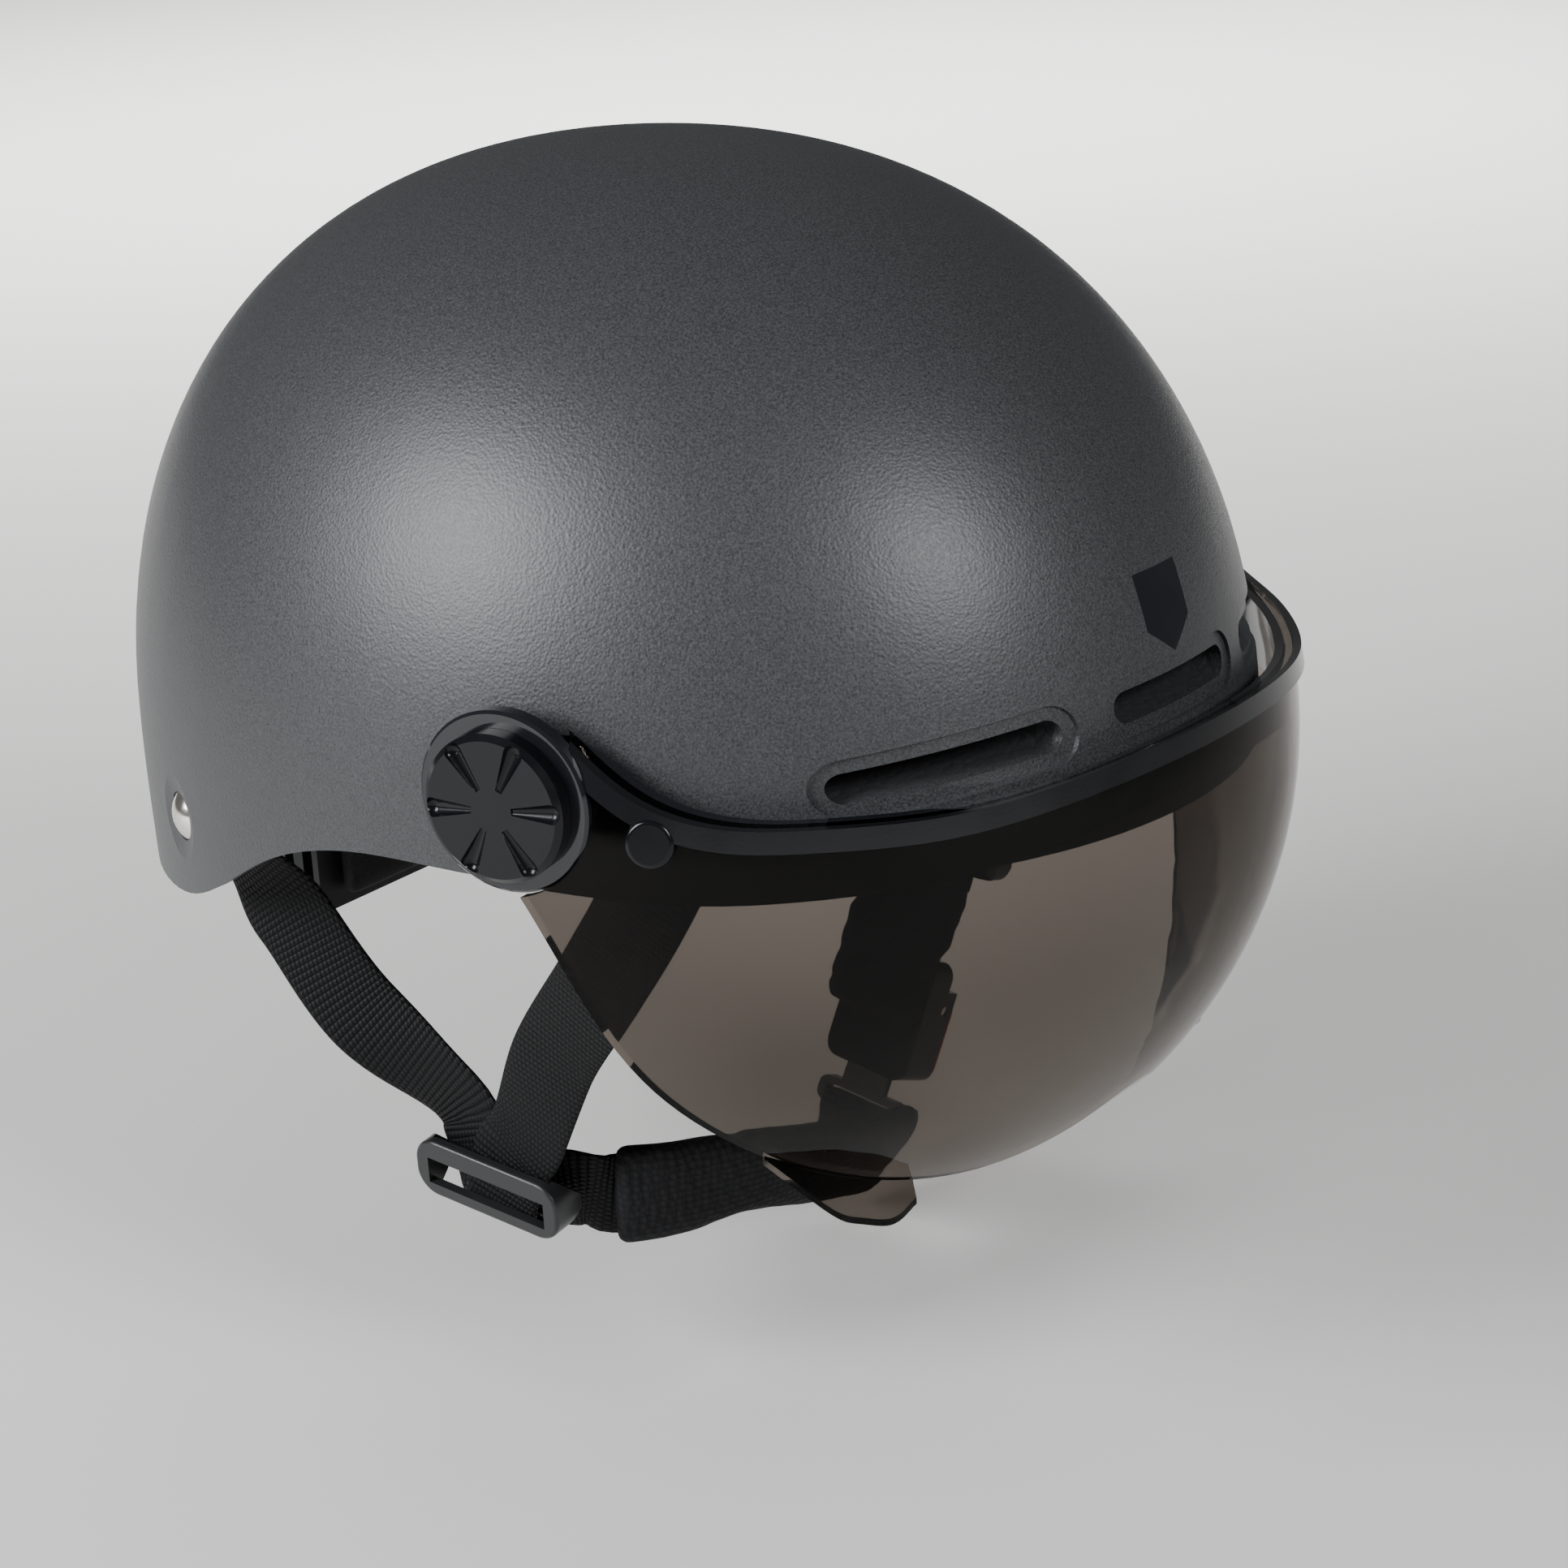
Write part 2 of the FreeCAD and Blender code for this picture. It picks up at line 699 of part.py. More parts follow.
# ---- knobs -------------------------------------------------------------------
knob_bottom = arm_thickness + knob_seat_gap
knob_body = along_arm(knob_radius, knob_bottom, knob_height)
knob_body = knob_body.makeChamfer(1.2, [
    e for e in knob_body.Edges
    if e.Closed and (e.CenterOfMass - arm_seat).Length > knob_bottom + knob_height - 0.5])
knob_bore = along_arm(knob_boss_radius + running_clearance, 0.0, arm_thickness + knob_boss_height + 0.3)
knob_left = knob_body.cut(knob_bore)
face_point = arm_seat + arm_axis * (knob_bottom + knob_height)
for k in range(knob_grooves):
    turn = 360.0 * k / knob_grooves + knob_groove_turn
    groove_start = face_point + UP * 4.6 + arm_axis * 0.35
    groove = Part.makeCone(0.8, 2.1, knob_radius - 6.6, groove_start, UP)
    groove = groove.fuse(Part.makeSphere(2.1, groove_start + UP * (knob_radius - 6.6)))
    groove.rotate(face_point, arm_axis, turn)
    knob_left = knob_left.cut(groove)
knob_right = mirrored(knob_left)

# ---- strap dividers ----------------------------------------------------------
# A divider is a slide with two bars in front of the webbing and one behind it.
right_divider_place = frame_at(V(-73.8, -2.5, -88.8), V(0.095, 0.098, -0.976), V(-0.98, -0.05, -0.1))
left_divider_place = frame_at(V(80.2, -13.0, -57.5), V(-0.25, 0.0, -0.97), V(0.97, 0, -0.25))
ply_gap = 0.1
ply_offset = 0.5 * (web_thickness + ply_gap)
half_gap = 0.5 * divider_gap
rear_bar_half = 1.6
behind_slide = half_gap + divider_bar_depth + 0.4 + 0.5 * web_thickness


def divider(place):
    half_long = divider_length / 2.0
    half_wide = divider_width / 2.0
    window = half_long - divider_cheek
    face = half_gap + divider_bar_depth
    plate = box(-half_wide, half_wide, -half_long, half_long, -face, face)
    plate = plate.makeFillet(6.0, [e for e in plate.Edges if abs(e.tangentAt(0).z) > 0.9])
    plate = plate.makeFillet(0.9, [e for e in plate.Edges if e.CenterOfMass.z > face - 0.1])
    corners = [
        V(-half_wide - 1.0, -far, face + 1.0),
        V(half_wide + 1.0, -far, face + 1.0),
        V(half_wide + 1.0, -far, half_gap),
        V(rear_bar_half, -far, -face - 0.1),
        V(-rear_bar_half, -far, -face - 0.1),
        V(-half_wide - 1.0, -far, half_gap),
    ]
    corners.append(corners[0])
    plate = plate.common(Part.Face(Part.makePolygon(corners)).extrude(V(0, 2 * far, 0)))
    plate = plate.cut(box(-far, far, -window, window, -half_gap, half_gap))
    plate = plate.cut(box(-half_wide + divider_top_bar, half_wide - divider_low_bar, -window, window, 0, far))
    plate = plate.cut(box(-far, -rear_bar_half, -window, window, -far, 0))
    plate = plate.cut(box(rear_bar_half, far, -window, window, -far, 0))
    return placed(tidy(plate), place)


divider_right = divider(right_divider_place)
divider_left = divider(left_divider_place)


def through_divider(place, side_step, ply, curled):
    """Last stations of a strap that runs through a slide; a curled one turns in below it."""
    out = place.Rotation.multVec(UP)
    down = place.Rotation.multVec(V(1, 0, 0))
    level = ply * ply_offset
    stations = [
        (place.multVec(V(-18.0, 11.5 * side_step, level + 0.6 * ply)), out),
        (place.multVec(V(-10.0, 6.0 * side_step, level)), out),
        (place.multVec(V(-5.0, 4.0 * side_step, level)), out),
        (place.multVec(V(0.0, 2.5 * side_step, level)), out),
    ]
    if not curled:
        stations.append((place.multVec(V(9.0, 0.5 * side_step, level)), out))
        return stations
    reach = 7.9 + 1.95 * max(ply, 0.0)
    end = behind_slide - 0.5 * web_thickness - 0.5
    stations.append((place.multVec(V(5.2, 1.5 * side_step, level)), out))
    stations.append((place.multVec(V(reach - 0.8, 1.0 * side_step, level - 1.4)), out + down))
    stations.append((place.multVec(V(reach, 1.0 * side_step, -end)), down))
    return stations


# ---- straps -------------------------------------------------------------------
rear_path_right = [
    (V(-94.0, 58.0, -4.0), V(-0.92, 0.39, 0)),
    (V(-91.5, 50.0, -15.0), V(-0.95, 0.2, 0.1)),
    (V(-88.0, 40.5, -29.0), V(-0.9, -0.3, 0.25)),
    (V(-82.5, 27.5, -51.0), V(-0.88, -0.4, 0.25)),
] + through_divider(right_divider_place, -1.0, -1.0, True)
front_path_right = [
    (V(-88.5, -75.0, 13.0), V(-0.88, -0.47, 0)),
    (V(-89.0, -66.0, -3.0), V(-0.92, -0.35, 0.1)),
    (V(-86.0, -50.0, -24.0), V(-0.9, -0.4, 0.2)),
    (V(-80.5, -30.0, -48.0), V(-0.9, -0.38, 0.22)),
] + through_divider(right_divider_place, 1.0, 1.0, True)
rear_path_left = [
    (V(94.0, 58.0, -4.0), V(0.92, 0.39, 0)),
    (V(91.5, 50.0, -15.0), V(0.94, 0.33, 0)),
    (V(90.0, 34.0, -28.0), V(0.95, 0.2, 0.2)),
    (V(87.5, 12.0, -40.0), V(0.96, 0.1, 0.2)),
] + through_divider(left_divider_place, 1.0, -1.0, False)
front_path_left = [
    (V(88.5, -75.0, 13.0), V(0.88, -0.47, 0)),
    (V(89.0, -66.0, -3.0), V(0.92, -0.35, 0.1)),
    (V(86.5, -50.0, -20.0), V(0.95, -0.25, 0.15)),
    (V(83.0, -36.0, -34.0), V(0.96, -0.1, 0.2)),
] + through_divider(left_divider_place, -1.0, 1.0, False)
strap_rear_right = ribbon(rear_path_right, web_width, web_thickness)
strap_front_right = ribbon(front_path_right, web_width, web_thickness)
strap_rear_left = ribbon(rear_path_left, web_width, web_thickness)
strap_front_left = ribbon(front_path_left, web_width, web_thickness)
for path in (rear_path_right, front_path_right, rear_path_left, front_path_left):
    channel = ribbon(path[:4], web_width + 2.0 * web_play, web_thickness + 2.0 * web_play)
    foam_liner = foam_liner.cut(channel)

# ---- buckle frame on the wearer's left -------------------------------------------
buckle_along = V(-0.391, 0.109, -0.913)
buckle_out = V(0.92, 0.0, -0.39)
buckle_centre = V(62.0, -9.5, -98.0)
buckle_place = frame_at(buckle_centre, buckle_along, buckle_out)
half_length_b = buckle_length / 2.0
half_width_b = buckle_width / 2.0
floor_top = -buckle_channel_height / 2.0
channel_top = buckle_channel_height / 2.0

body = box(-half_length_b, half_length_b, -half_width_b, half_width_b,
           floor_top - buckle_floor, buckle_wall_top)
body = body.makeFillet(4.0, [e for e in body.Edges if abs(e.tangentAt(0).z) > 0.9])
body = body.cut(box(-half_length_b + 6.0, far, -buckle_channel_width / 2.0, buckle_channel_width / 2.0,
                    floor_top, channel_top))
body = body.cut(box(-half_length_b + 7.0, far, -lever_width / 2.0 - 0.4, lever_width / 2.0 + 0.4,
                    channel_top, far))
body = body.cut(box(-half_length_b - 1.0, -half_length_b + 7.0, -half_width_b - 1.0, half_width_b + 1.0,
                    channel_top + 2.5, far))
web_slot_height = web_thickness + 2.0 * web_play
body = body.cut(box(-half_length_b - 1.0, -half_length_b + 4.0, -web_width / 2.0 - web_play,
                    web_width / 2.0 + web_play, -web_slot_height / 2.0, web_slot_height / 2.0))
pin_x = -half_length_b + 12.0
pin_z = channel_top + 3.4
body = body.cut(Part.makeCylinder(lever_pin_radius, far, V(pin_x, -far / 2.0, pin_z), V(0, 1, 0)))
buckle_body = placed(tidy(body), buckle_place)

pin = Part.makeCylinder(lever_pin_radius, buckle_width - 1.0, V(pin_x, -half_width_b + 0.5, pin_z), V(0, 1, 0))
buckle_pin = placed(pin, buckle_place)

lever_low = channel_top + 2.0
lever_end = pin_x - 4.0 + lever_length
lever = box(pin_x - 4.0, lever_end, -lever_width / 2.0, lever_width / 2.0,
            lever_low, lever_low + lever_thickness)
lever = lever.fuse(box(pin_x - 2.0, lever_end, -lever_width / 2.0, lever_width / 2.0,
                       lever_low + lever_thickness - 0.2, buckle_wall_top + 2.4))
plate = box(pin_x - 2.0, lever_end + 3.0, -lever_width / 2.0 - lever_flange, lever_width / 2.0 + 1.5,
            buckle_wall_top + 0.4, buckle_wall_top + 2.8)
plate = plate.makeFillet(3.0, [e for e in plate.Edges if abs(e.tangentAt(0).z) > 0.9])
lever = lever.fuse(plate)
tongue_crest = -tongue_thickness / 2.0 + tongue_thickness - 0.4
pawl_low = tongue_crest + pawl_clearance
pawl = Part.Face(Part.makePolygon([
    V(pin_x + 10.0, -4.0, lever_low + 0.5),
    V(pin_x + 10.0, -4.0, pawl_low),
    V(pin_x + 12.5, -4.0, lever_low + 0.5),
    V(pin_x + 10.0, -4.0, lever_low + 0.5),
])).extrude(V(0, 8.0, 0))
lever = lever.fuse(pawl)
lever = lever.cut(Part.makeCylinder(lever_pin_radius + running_clearance, far,
                                    V(pin_x, -far / 2.0, pin_z), V(0, 1, 0)))
spring_room = box(pin_x - 3.2, pin_x + 3.4, -4.0, 4.0, -far, pin_z + 3.2)
lever = lever.cut(spring_room)
buckle_lever = placed(tidy(lever.removeSplitter()), buckle_place)

coil_radius = lever_pin_radius + 0.75
turns = []
for k in range(5):
    turns.append(Part.makeTorus(coil_radius, spring_wire / 2.0,
                                V(pin_x, -1.4 + k * 0.85 * spring_wire, pin_z), V(0, 1, 0)))
leg_down = round_bar(V(pin_x - coil_radius, -1.4, pin_z), V(pin_x - coil_radius, -1.4, pin_z - 3.0),
                     spring_wire / 2.0)
spring = turns[0].multiFuse(turns[1:] + [leg_down])
buckle_spring = placed(spring, buckle_place)

tongue_tip = -half_length_b + 6.0 + tongue_travel + 0.6
head_start = half_length_b + tongue_travel + 0.6
head_x = head_start + tongue_head_length
tongue_low = -tongue_thickness / 2.0
tongue = box(tongue_tip, head_start + 1.0, -tongue_width / 2.0, tongue_width / 2.0,
             tongue_low - 0.2, tongue_crest)
tongue_teeth = 6
for k in range(tongue_teeth):
    x = tongue_tip + 1.2 + tongue_tooth_pitch * k
    notch = Part.Face(Part.makePolygon([
        V(x, -far / 2.0, tongue_low + tongue_thickness),
        V(x, -far / 2.0, tongue_low + tongue_thickness - 1.1),
        V(x + tongue_tooth_pitch - 0.6, -far / 2.0, tongue_low + tongue_thickness),
        V(x, -far / 2.0, tongue_low + tongue_thickness),
    ])).extrude(V(0, far, 0))
    tongue = tongue.cut(notch)
tongue_head = box(head_start, head_x, -web_width / 2.0 - 3.0, web_width / 2.0 + 3.0, -1.8, 1.8)
tongue_head = tongue_head.makeFillet(2.5, [e for e in tongue_head.Edges if abs(e.tangentAt(0).z) > 0.9])
tongue = tongue.fuse(tongue_head)
eye_start = head_start + 2.0
eye_end = head_x - 2.0
tongue = tongue.cut(box(eye_start, eye_end, -web_width / 2.0 - web_play,
                        web_width / 2.0 + web_play, -far / 2.0, far / 2.0))
buckle_tongue = placed(tidy(tongue), buckle_place)
loop_end = head_x + loop_reach
half_loop = 1.8 + 0.2 + web_thickness
loop = box(eye_start + 0.5, loop_end - 6.0, -web_width / 2.0, web_width / 2.0, -half_loop, half_loop)
loop = loop.cut(box(eye_start + 0.5 + web_thickness, head_x + 0.6, -far, far, -2.0, 2.0))
loop = loop.cut(box(head_x + 2.4, far, -far, far, 1.1, far))
loop = loop.cut(box(head_x + 2.4, far, -far, far, -far, -1.1))
loop = loop.fuse(box(head_x + 2.0, loop_end, -web_width / 2.0, web_width / 2.0, -1.1, 1.1))
tongue_loop = placed(tidy(loop.removeSplitter()), buckle_place)


def buckle_point(along, across=0.0, out=0.0):
    return buckle_place.multVec(V(along, across, out))


# webbing and pad from the left divider down into the buckle
divider_out = left_divider_place.Rotation.multVec(UP)
sewn_level = -(2.0 * ply_offset + web_thickness / 2.0 + 0.15)
strap_buckle = ribbon([
    (left_divider_place.multVec(V(rear_bar_half + 0.8, 0, sewn_level)), divider_out),
    (left_divider_place.multVec(V(7.0, 0, sewn_level)), divider_out),
    (left_divider_place.multVec(V(11.5, 0, sewn_level)), divider_out),
    (buckle_point(-half_length_b - 7.0), buckle_out),
    (buckle_point(-half_length_b - 1.0), buckle_out),
    (buckle_point(-half_length_b + 3.4), buckle_out),
], web_width, web_thickness)
pad_level = sewn_level - 0.5 * web_thickness - 0.4 - 0.5 * pad_flap_thickness
pad_low_level = floor_top - buckle_floor - 0.5 - 0.5 * pad_flap_thickness
buckle_pad = ribbon([
    (left_divider_place.multVec(V(4.0, 0, pad_level)), divider_out),
    (left_divider_place.multVec(V(12.0, 0, pad_level)), divider_out),
    (buckle_point(-half_length_b - 3.0, 0, pad_low_level), buckle_out),
    (buckle_point(2.0, 0, pad_low_level - 0.8), buckle_out),
], pad_flap_width, pad_flap_thickness)

# chin webbing: one path from the right divider, under the chin, to the tongue
sewn_out = right_divider_place.Rotation.multVec(UP)
chin_path = [
    (right_divider_place.multVec(V(0.5, -15.0, -behind_slide)), sewn_out),
    (right_divider_place.multVec(V(0.7, -2.0, -behind_slide)), sewn_out),
    (right_divider_place.multVec(V(0.8, 10.0, -behind_slide - 0.5)), sewn_out),
    (right_divider_place.multVec(V(0.0, 18.0, -behind_slide - 2.6)), sewn_out),
    (V(-60.5, -25.5, -91.0), V(-0.8, -0.6, 0)),
    (V(-50.0, -34.0, -91.5), V(-0.65, -0.75, -0.1)),
    (V(-34.0, -41.5, -92.5), V(-0.45, -0.85, -0.25)),
    (V(-14.0, -45.5, -98.0), V(-0.15, -0.9, -0.4)),
    (V(5.0, -44.0, -104.0), V(0.1, -0.85, -0.5)),
    (V(21.0, -38.5, -110.5), V(0.35, -0.75, -0.6)),
    (V(33.0, -27.0, -119.5), V(0.55, -0.55, -0.6)),
    (V(40.5, -15.5, -128.0), V(0.72, -0.35, -0.55)),
    (buckle_point(loop_end + 0.4), buckle_out),
]
chin_strap = ribbon(chin_path, web_width, web_thickness)
loop_room = box(head_start, loop_end + 0.3, -half_width_b - 4.0, half_width_b + 4.0, -14.0, 14.0)
chin_strap = tidy(chin_strap.cut(placed(loop_room, buckle_place)))
sleeve_path = chin_path[4:10]
chin_pad = ribbon(sleeve_path, sleeve_width, sleeve_thickness)
chin_core = ribbon(chin_path[3:11], web_width + 0.6, web_thickness + 0.6)


# ---- head ring at the nape -----------------------------------------------------------
rack_y0 = dial_y - housing_depth / 2.0 + housing_wall + 0.2
rack_y1 = rack_y0 + rack_thickness
root_depth = 1.25 * gear_module
neck_end_x = housing_half_width + band_travel + 2.0
tooth_half = tooth_pitch / 4.0
slope = math.tan(math.radians(20.0))


def rack_tooth(centre_x, base_z, direction, extra, y0, y1):
    """One straight-sided rack tooth; base_z is the pitch line height."""
    tip = gear_module + extra
    root = -root_depth
    half_tip = tooth_half - tip * slope + extra
    half_root = tooth_half - root * slope + extra
    points = [
        V(centre_x - half_root, y0, base_z + direction * root),
        V(centre_x + half_root, y0, base_z + direction * root),
        V(centre_x + half_tip, y0, base_z + direction * tip),
        V(centre_x - half_tip, y0, base_z + direction * tip),
    ]
    points.append(points[0])
    return Part.Face(Part.makePolygon(points)).extrude(V(0, y1 - y0, 0))


def rack(side):
    """Toothed end of a band; side -1 runs above the pinion, +1 below it."""
    toward = 1.0 if side > 0 else -1.0
    pitch_z = dial_z - toward * pinion_pitch_radius
    near = pitch_z - toward * root_depth
    outer = near - toward * rack_body
    x_in = -side * 15.0
    x_out = side * neck_end_x
    bar = box(min(x_in, x_out), max(x_in, x_out), rack_y0, rack_y1, min(near, outer), max(near, outer))
    first_tooth = -int((15.0 - 2.0) / tooth_pitch)
    last_tooth = int((housing_half_width - 8.0) / tooth_pitch)
    for k in range(first_tooth, last_tooth):
        centre_x = side * (k + 0.5) * tooth_pitch
        bar = bar.fuse(rack_tooth(centre_x, pitch_z, toward, 0.0, rack_y0, rack_y1))
    return bar.removeSplitter()


blank_radius = pinion_pitch_radius + gear_module
gear_blank = Part.makeCylinder(blank_radius - 0.1, rack_thickness, V(0, rack_y0, dial_z), V(0, 1, 0))
roll_steps = 11
roll_span = 40.0
cutters = []
for k in range(roll_steps):
    turn = -roll_span + 2.0 * roll_span * k / (roll_steps - 1)
    travel = math.radians(turn) * pinion_pitch_radius
    cutter = rack_tooth(travel, dial_z - pinion_pitch_radius, 1.0, gear_backlash, rack_y0 - 1.0, rack_y1 + 1.0)
    cutter.rotate(V(0, 0, dial_z), V(0, 1, 0), turn)
    cutters.append(cutter)
gap = cutters[0].multiFuse(cutters[1:])
for k in range(pinion_teeth):
    turned = gap.copy()
    turned.rotate(V(0, 0, dial_z), V(0, 1, 0), 360.0 * (k + 0.5) / pinion_teeth)
    gear_blank = gear_blank.cut(turned)
housing_y0 = dial_y - housing_depth / 2.0
housing_y1 = dial_y + housing_depth / 2.0
shaft = Part.makeCylinder(2.5, housing_y1 + 3.0 - housing_y0 - 0.2,
                          V(0, housing_y0 + 0.2, dial_z), V(0, 1, 0))
dial_pinion = gear_blank.fuse(shaft).removeSplitter()

housing = box(-housing_half_width, housing_half_width, housing_y0, housing_y1,
              dial_z - housing_half_height, dial_z + housing_half_height)
housing = housing.makeFillet(5.0, [e for e in housing.Edges if abs(e.tangentAt(0).y) > 0.9])
cover_y = housing_y1 - housing_wall
room = box(-housing_half_width - 1.0, housing_half_width + 1.0, rack_y0 - 0.2, rack_y1 + 0.2,
           dial_z - 9.2, dial_z + 9.2)
housing = housing.cut(room)
housing = housing.cut(box(-housing_half_width - 1.0, housing_half_width + 1.0, cover_y, housing_y1 + 1.0,
                          -far, far))
housing = housing.cut(box(-13.0, 13.0, rack_y1, cover_y + 1.0, dial_z - 9.2, dial_z + 9.2))
shaft_hole = Part.makeCylinder(2.5 + running_clearance, 60.0, V(0, housing_y0 - 20.0, dial_z), V(0, 1, 0))
housing = housing.cut(shaft_hole)
hanger_low = dial_z + housing_half_height
hanger = box(-9.0, 9.0, housing_y0 + 2.0, housing_y0 + 4.5, hanger_low - 3.0, 6.0)
ring_housing = housing.fuse(hanger)
hanger_peg = Part.makeCylinder(3.0, 12.0, V(0, housing_y0 + 3.0, -4.0), V(0, 1, 0))
ring_housing = ring_housing.fuse(hanger_peg).removeSplitter()
foam_liner = foam_liner.cut(hanger_peg)
ring_housing = tidy(ring_housing)

cover = box(-housing_half_width, housing_half_width, cover_y, housing_y1,
            dial_z - housing_half_height, dial_z + housing_half_height)
cover = cover.makeFillet(5.0, [e for e in cover.Edges if abs(e.tangentAt(0).y) > 0.9])
ring_cover = cover.cut(shaft_hole)

dial = Part.makeCylinder(dial_radius, dial_thickness, V(0, housing_y1 + 0.3, dial_z), V(0, 1, 0))
dial = dial.makeChamfer(1.5, [e for e in dial.Edges if e.Closed and e.CenterOfMass.y > housing_y1 + 5.0])
for k in range(16):
    turn = math.radians(360.0 * k / 16)
    notch_at = V((dial_radius + 1.0) * math.cos(turn), housing_y1, dial_z + (dial_radius + 1.0) * math.sin(turn))
    dial = dial.cut(Part.makeCylinder(1.8, dial_thickness + 2.0, notch_at, V(0, 1, 0)))
dial = dial.cut(Part.makeCylinder(2.5, 3.0, V(0, housing_y1, dial_z), V(0, 1, 0)))
dial_knob = dial


def band_piece(side):
    """Band on one side: a straight toothed end, then a strip curving forward."""
    toward = 1.0 if side > 0 else -1.0
    near_z = dial_z - toward * (pinion_pitch_radius + root_depth)
    far_z = near_z - toward * rack_body
    y_mid = 0.5 * (rack_y0 + rack_y1)
    stations = [
        (V(side * (neck_end_x + 7.0), y_mid - 3.0, -46.0), V(side * 0.3, 0.95, 0)),
        (V(side * 58.0, 86.0, -42.0), V(side * 0.6, 0.8, 0)),
        (V(side * 67.0, 72.0, -36.0), V(side * 0.75, 0.62, 0.1)),
        (V(side * 73.5, 56.0, -28.5), V(side * 0.9, 0.4, 0.1)),
    ]
    start = V(side * neck_end_x, y_mid, 0.5 * (near_z + far_z))
    straight = V(side, 0, 0)
    back = V(0, 1, 0)
    slices = [
        (start - straight * 1.5, straight, back, rack_body / 2.0, rack_thickness / 2.0),
        (start, straight, back, rack_body / 2.0, rack_thickness / 2.0),
    ]
    for k, (point, outward) in enumerate(stations):
        after = stations[min(k + 1, len(stations) - 1)][0]
        before = stations[max(k - 1, 0)][0]
        along = after - before
        along.normalize()
        slices.append((point, along, outward, band_height / 2.0, band_thickness / 2.0))
    sections = []
    for point, along, outward, half_height, half_thick in slices:
        wide = along.cross(outward)
        wide.normalize()
        thick = wide.cross(along)
        a = wide * half_height
        b = thick * half_thick
        corners = [point + a + b, point - a + b, point - a - b, point + a - b]
        corners.append(corners[0])
        sections.append(Part.makePolygon(corners))
    strip = Part.makeLoft(sections, True, True)
    return tidy(rack(side).fuse(strip))


band_right = band_piece(-1)
band_left = band_piece(1)

pad_nape = box(-26.0, 26.0, housing_y0 - 5.3, housing_y0 - 0.3, dial_z - 11.0, dial_z + 11.0)
pad_nape = pad_nape.makeFillet(2.0, pad_nape.Edges)

# ---- keep neighbours apart, then write everything -----------------------------------
chin_pad = chin_pad.cut(chin_core)

pieces = {
    "outer_shell": tidy(outer_shell),
    "foam_liner": tidy(foam_liner),
    "front_badge": front_badge,
    "pad_brow": pad_brow,
    "pad_crown": pad_crown,
    "pad_right": mirrored(pad_side),
    "pad_left": pad_side,
    "pad_back": pad_back,
    "strap_rivets": strap_rivets,
    "strap_washers": strap_washers,
    "pivot_bases": pair(tidy(base)),
    "pivot_inserts": pair(tidy(insert)),
    "pivot_screws": pair(tidy(screw)),
    "friction_washers": pair(washer_ring),
    "visor_lens": tidy(visor_lens),
    "visor_frame": tidy(visor_frame),
    "visor_rim": tidy(visor_rim),
    "visor_studs": visor_studs,
    "knob_right": knob_right,
    "knob_left": knob_left,
    "ring_housing": ring_housing,
    "ring_cover": ring_cover,
    "dial_knob": dial_knob,
    "dial_pinion": dial_pinion,
    "band_right": band_right,
    "band_left": band_left,
    "pad_nape": pad_nape,
    "strap_rear_right": strap_rear_right,
    "strap_front_right": strap_front_right,
    "strap_rear_left": strap_rear_left,
    "strap_front_left": strap_front_left,
    "divider_right": divider_right,
    "divider_left": divider_left,
    "chin_strap": chin_strap,
    "chin_pad": tidy(chin_pad),
    "strap_buckle": strap_buckle,
    "buckle_pad": buckle_pad,
    "buckle_body": buckle_body,
    "buckle_lever": buckle_lever,
    "buckle_pin": buckle_pin,
    "buckle_spring": buckle_spring,
    "buckle_tongue": buckle_tongue,
    "tongue_loop": tongue_loop,
}
for name, shape in pieces.items():
    save(name, shape)
    bounds = shape.BoundBox
    print("%-18s solids %d valid %s volume %9.0f  x %.1f..%.1f y %.1f..%.1f z %.1f..%.1f" % (
        name, len(shape.Solids), shape.isValid(), shape.Volume,
        bounds.XMin, bounds.XMax, bounds.YMin, bounds.YMax, bounds.ZMin, bounds.ZMax))
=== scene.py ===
# %% [markdown]
# A cycling helmet with a smoked visor. The exact pieces come from the packed
# frame; this lesson adds cloth, webbing, finishes, light and a camera.

# %% Load the frame
import math

import bmesh
import bpy
from mathutils import Matrix, Vector


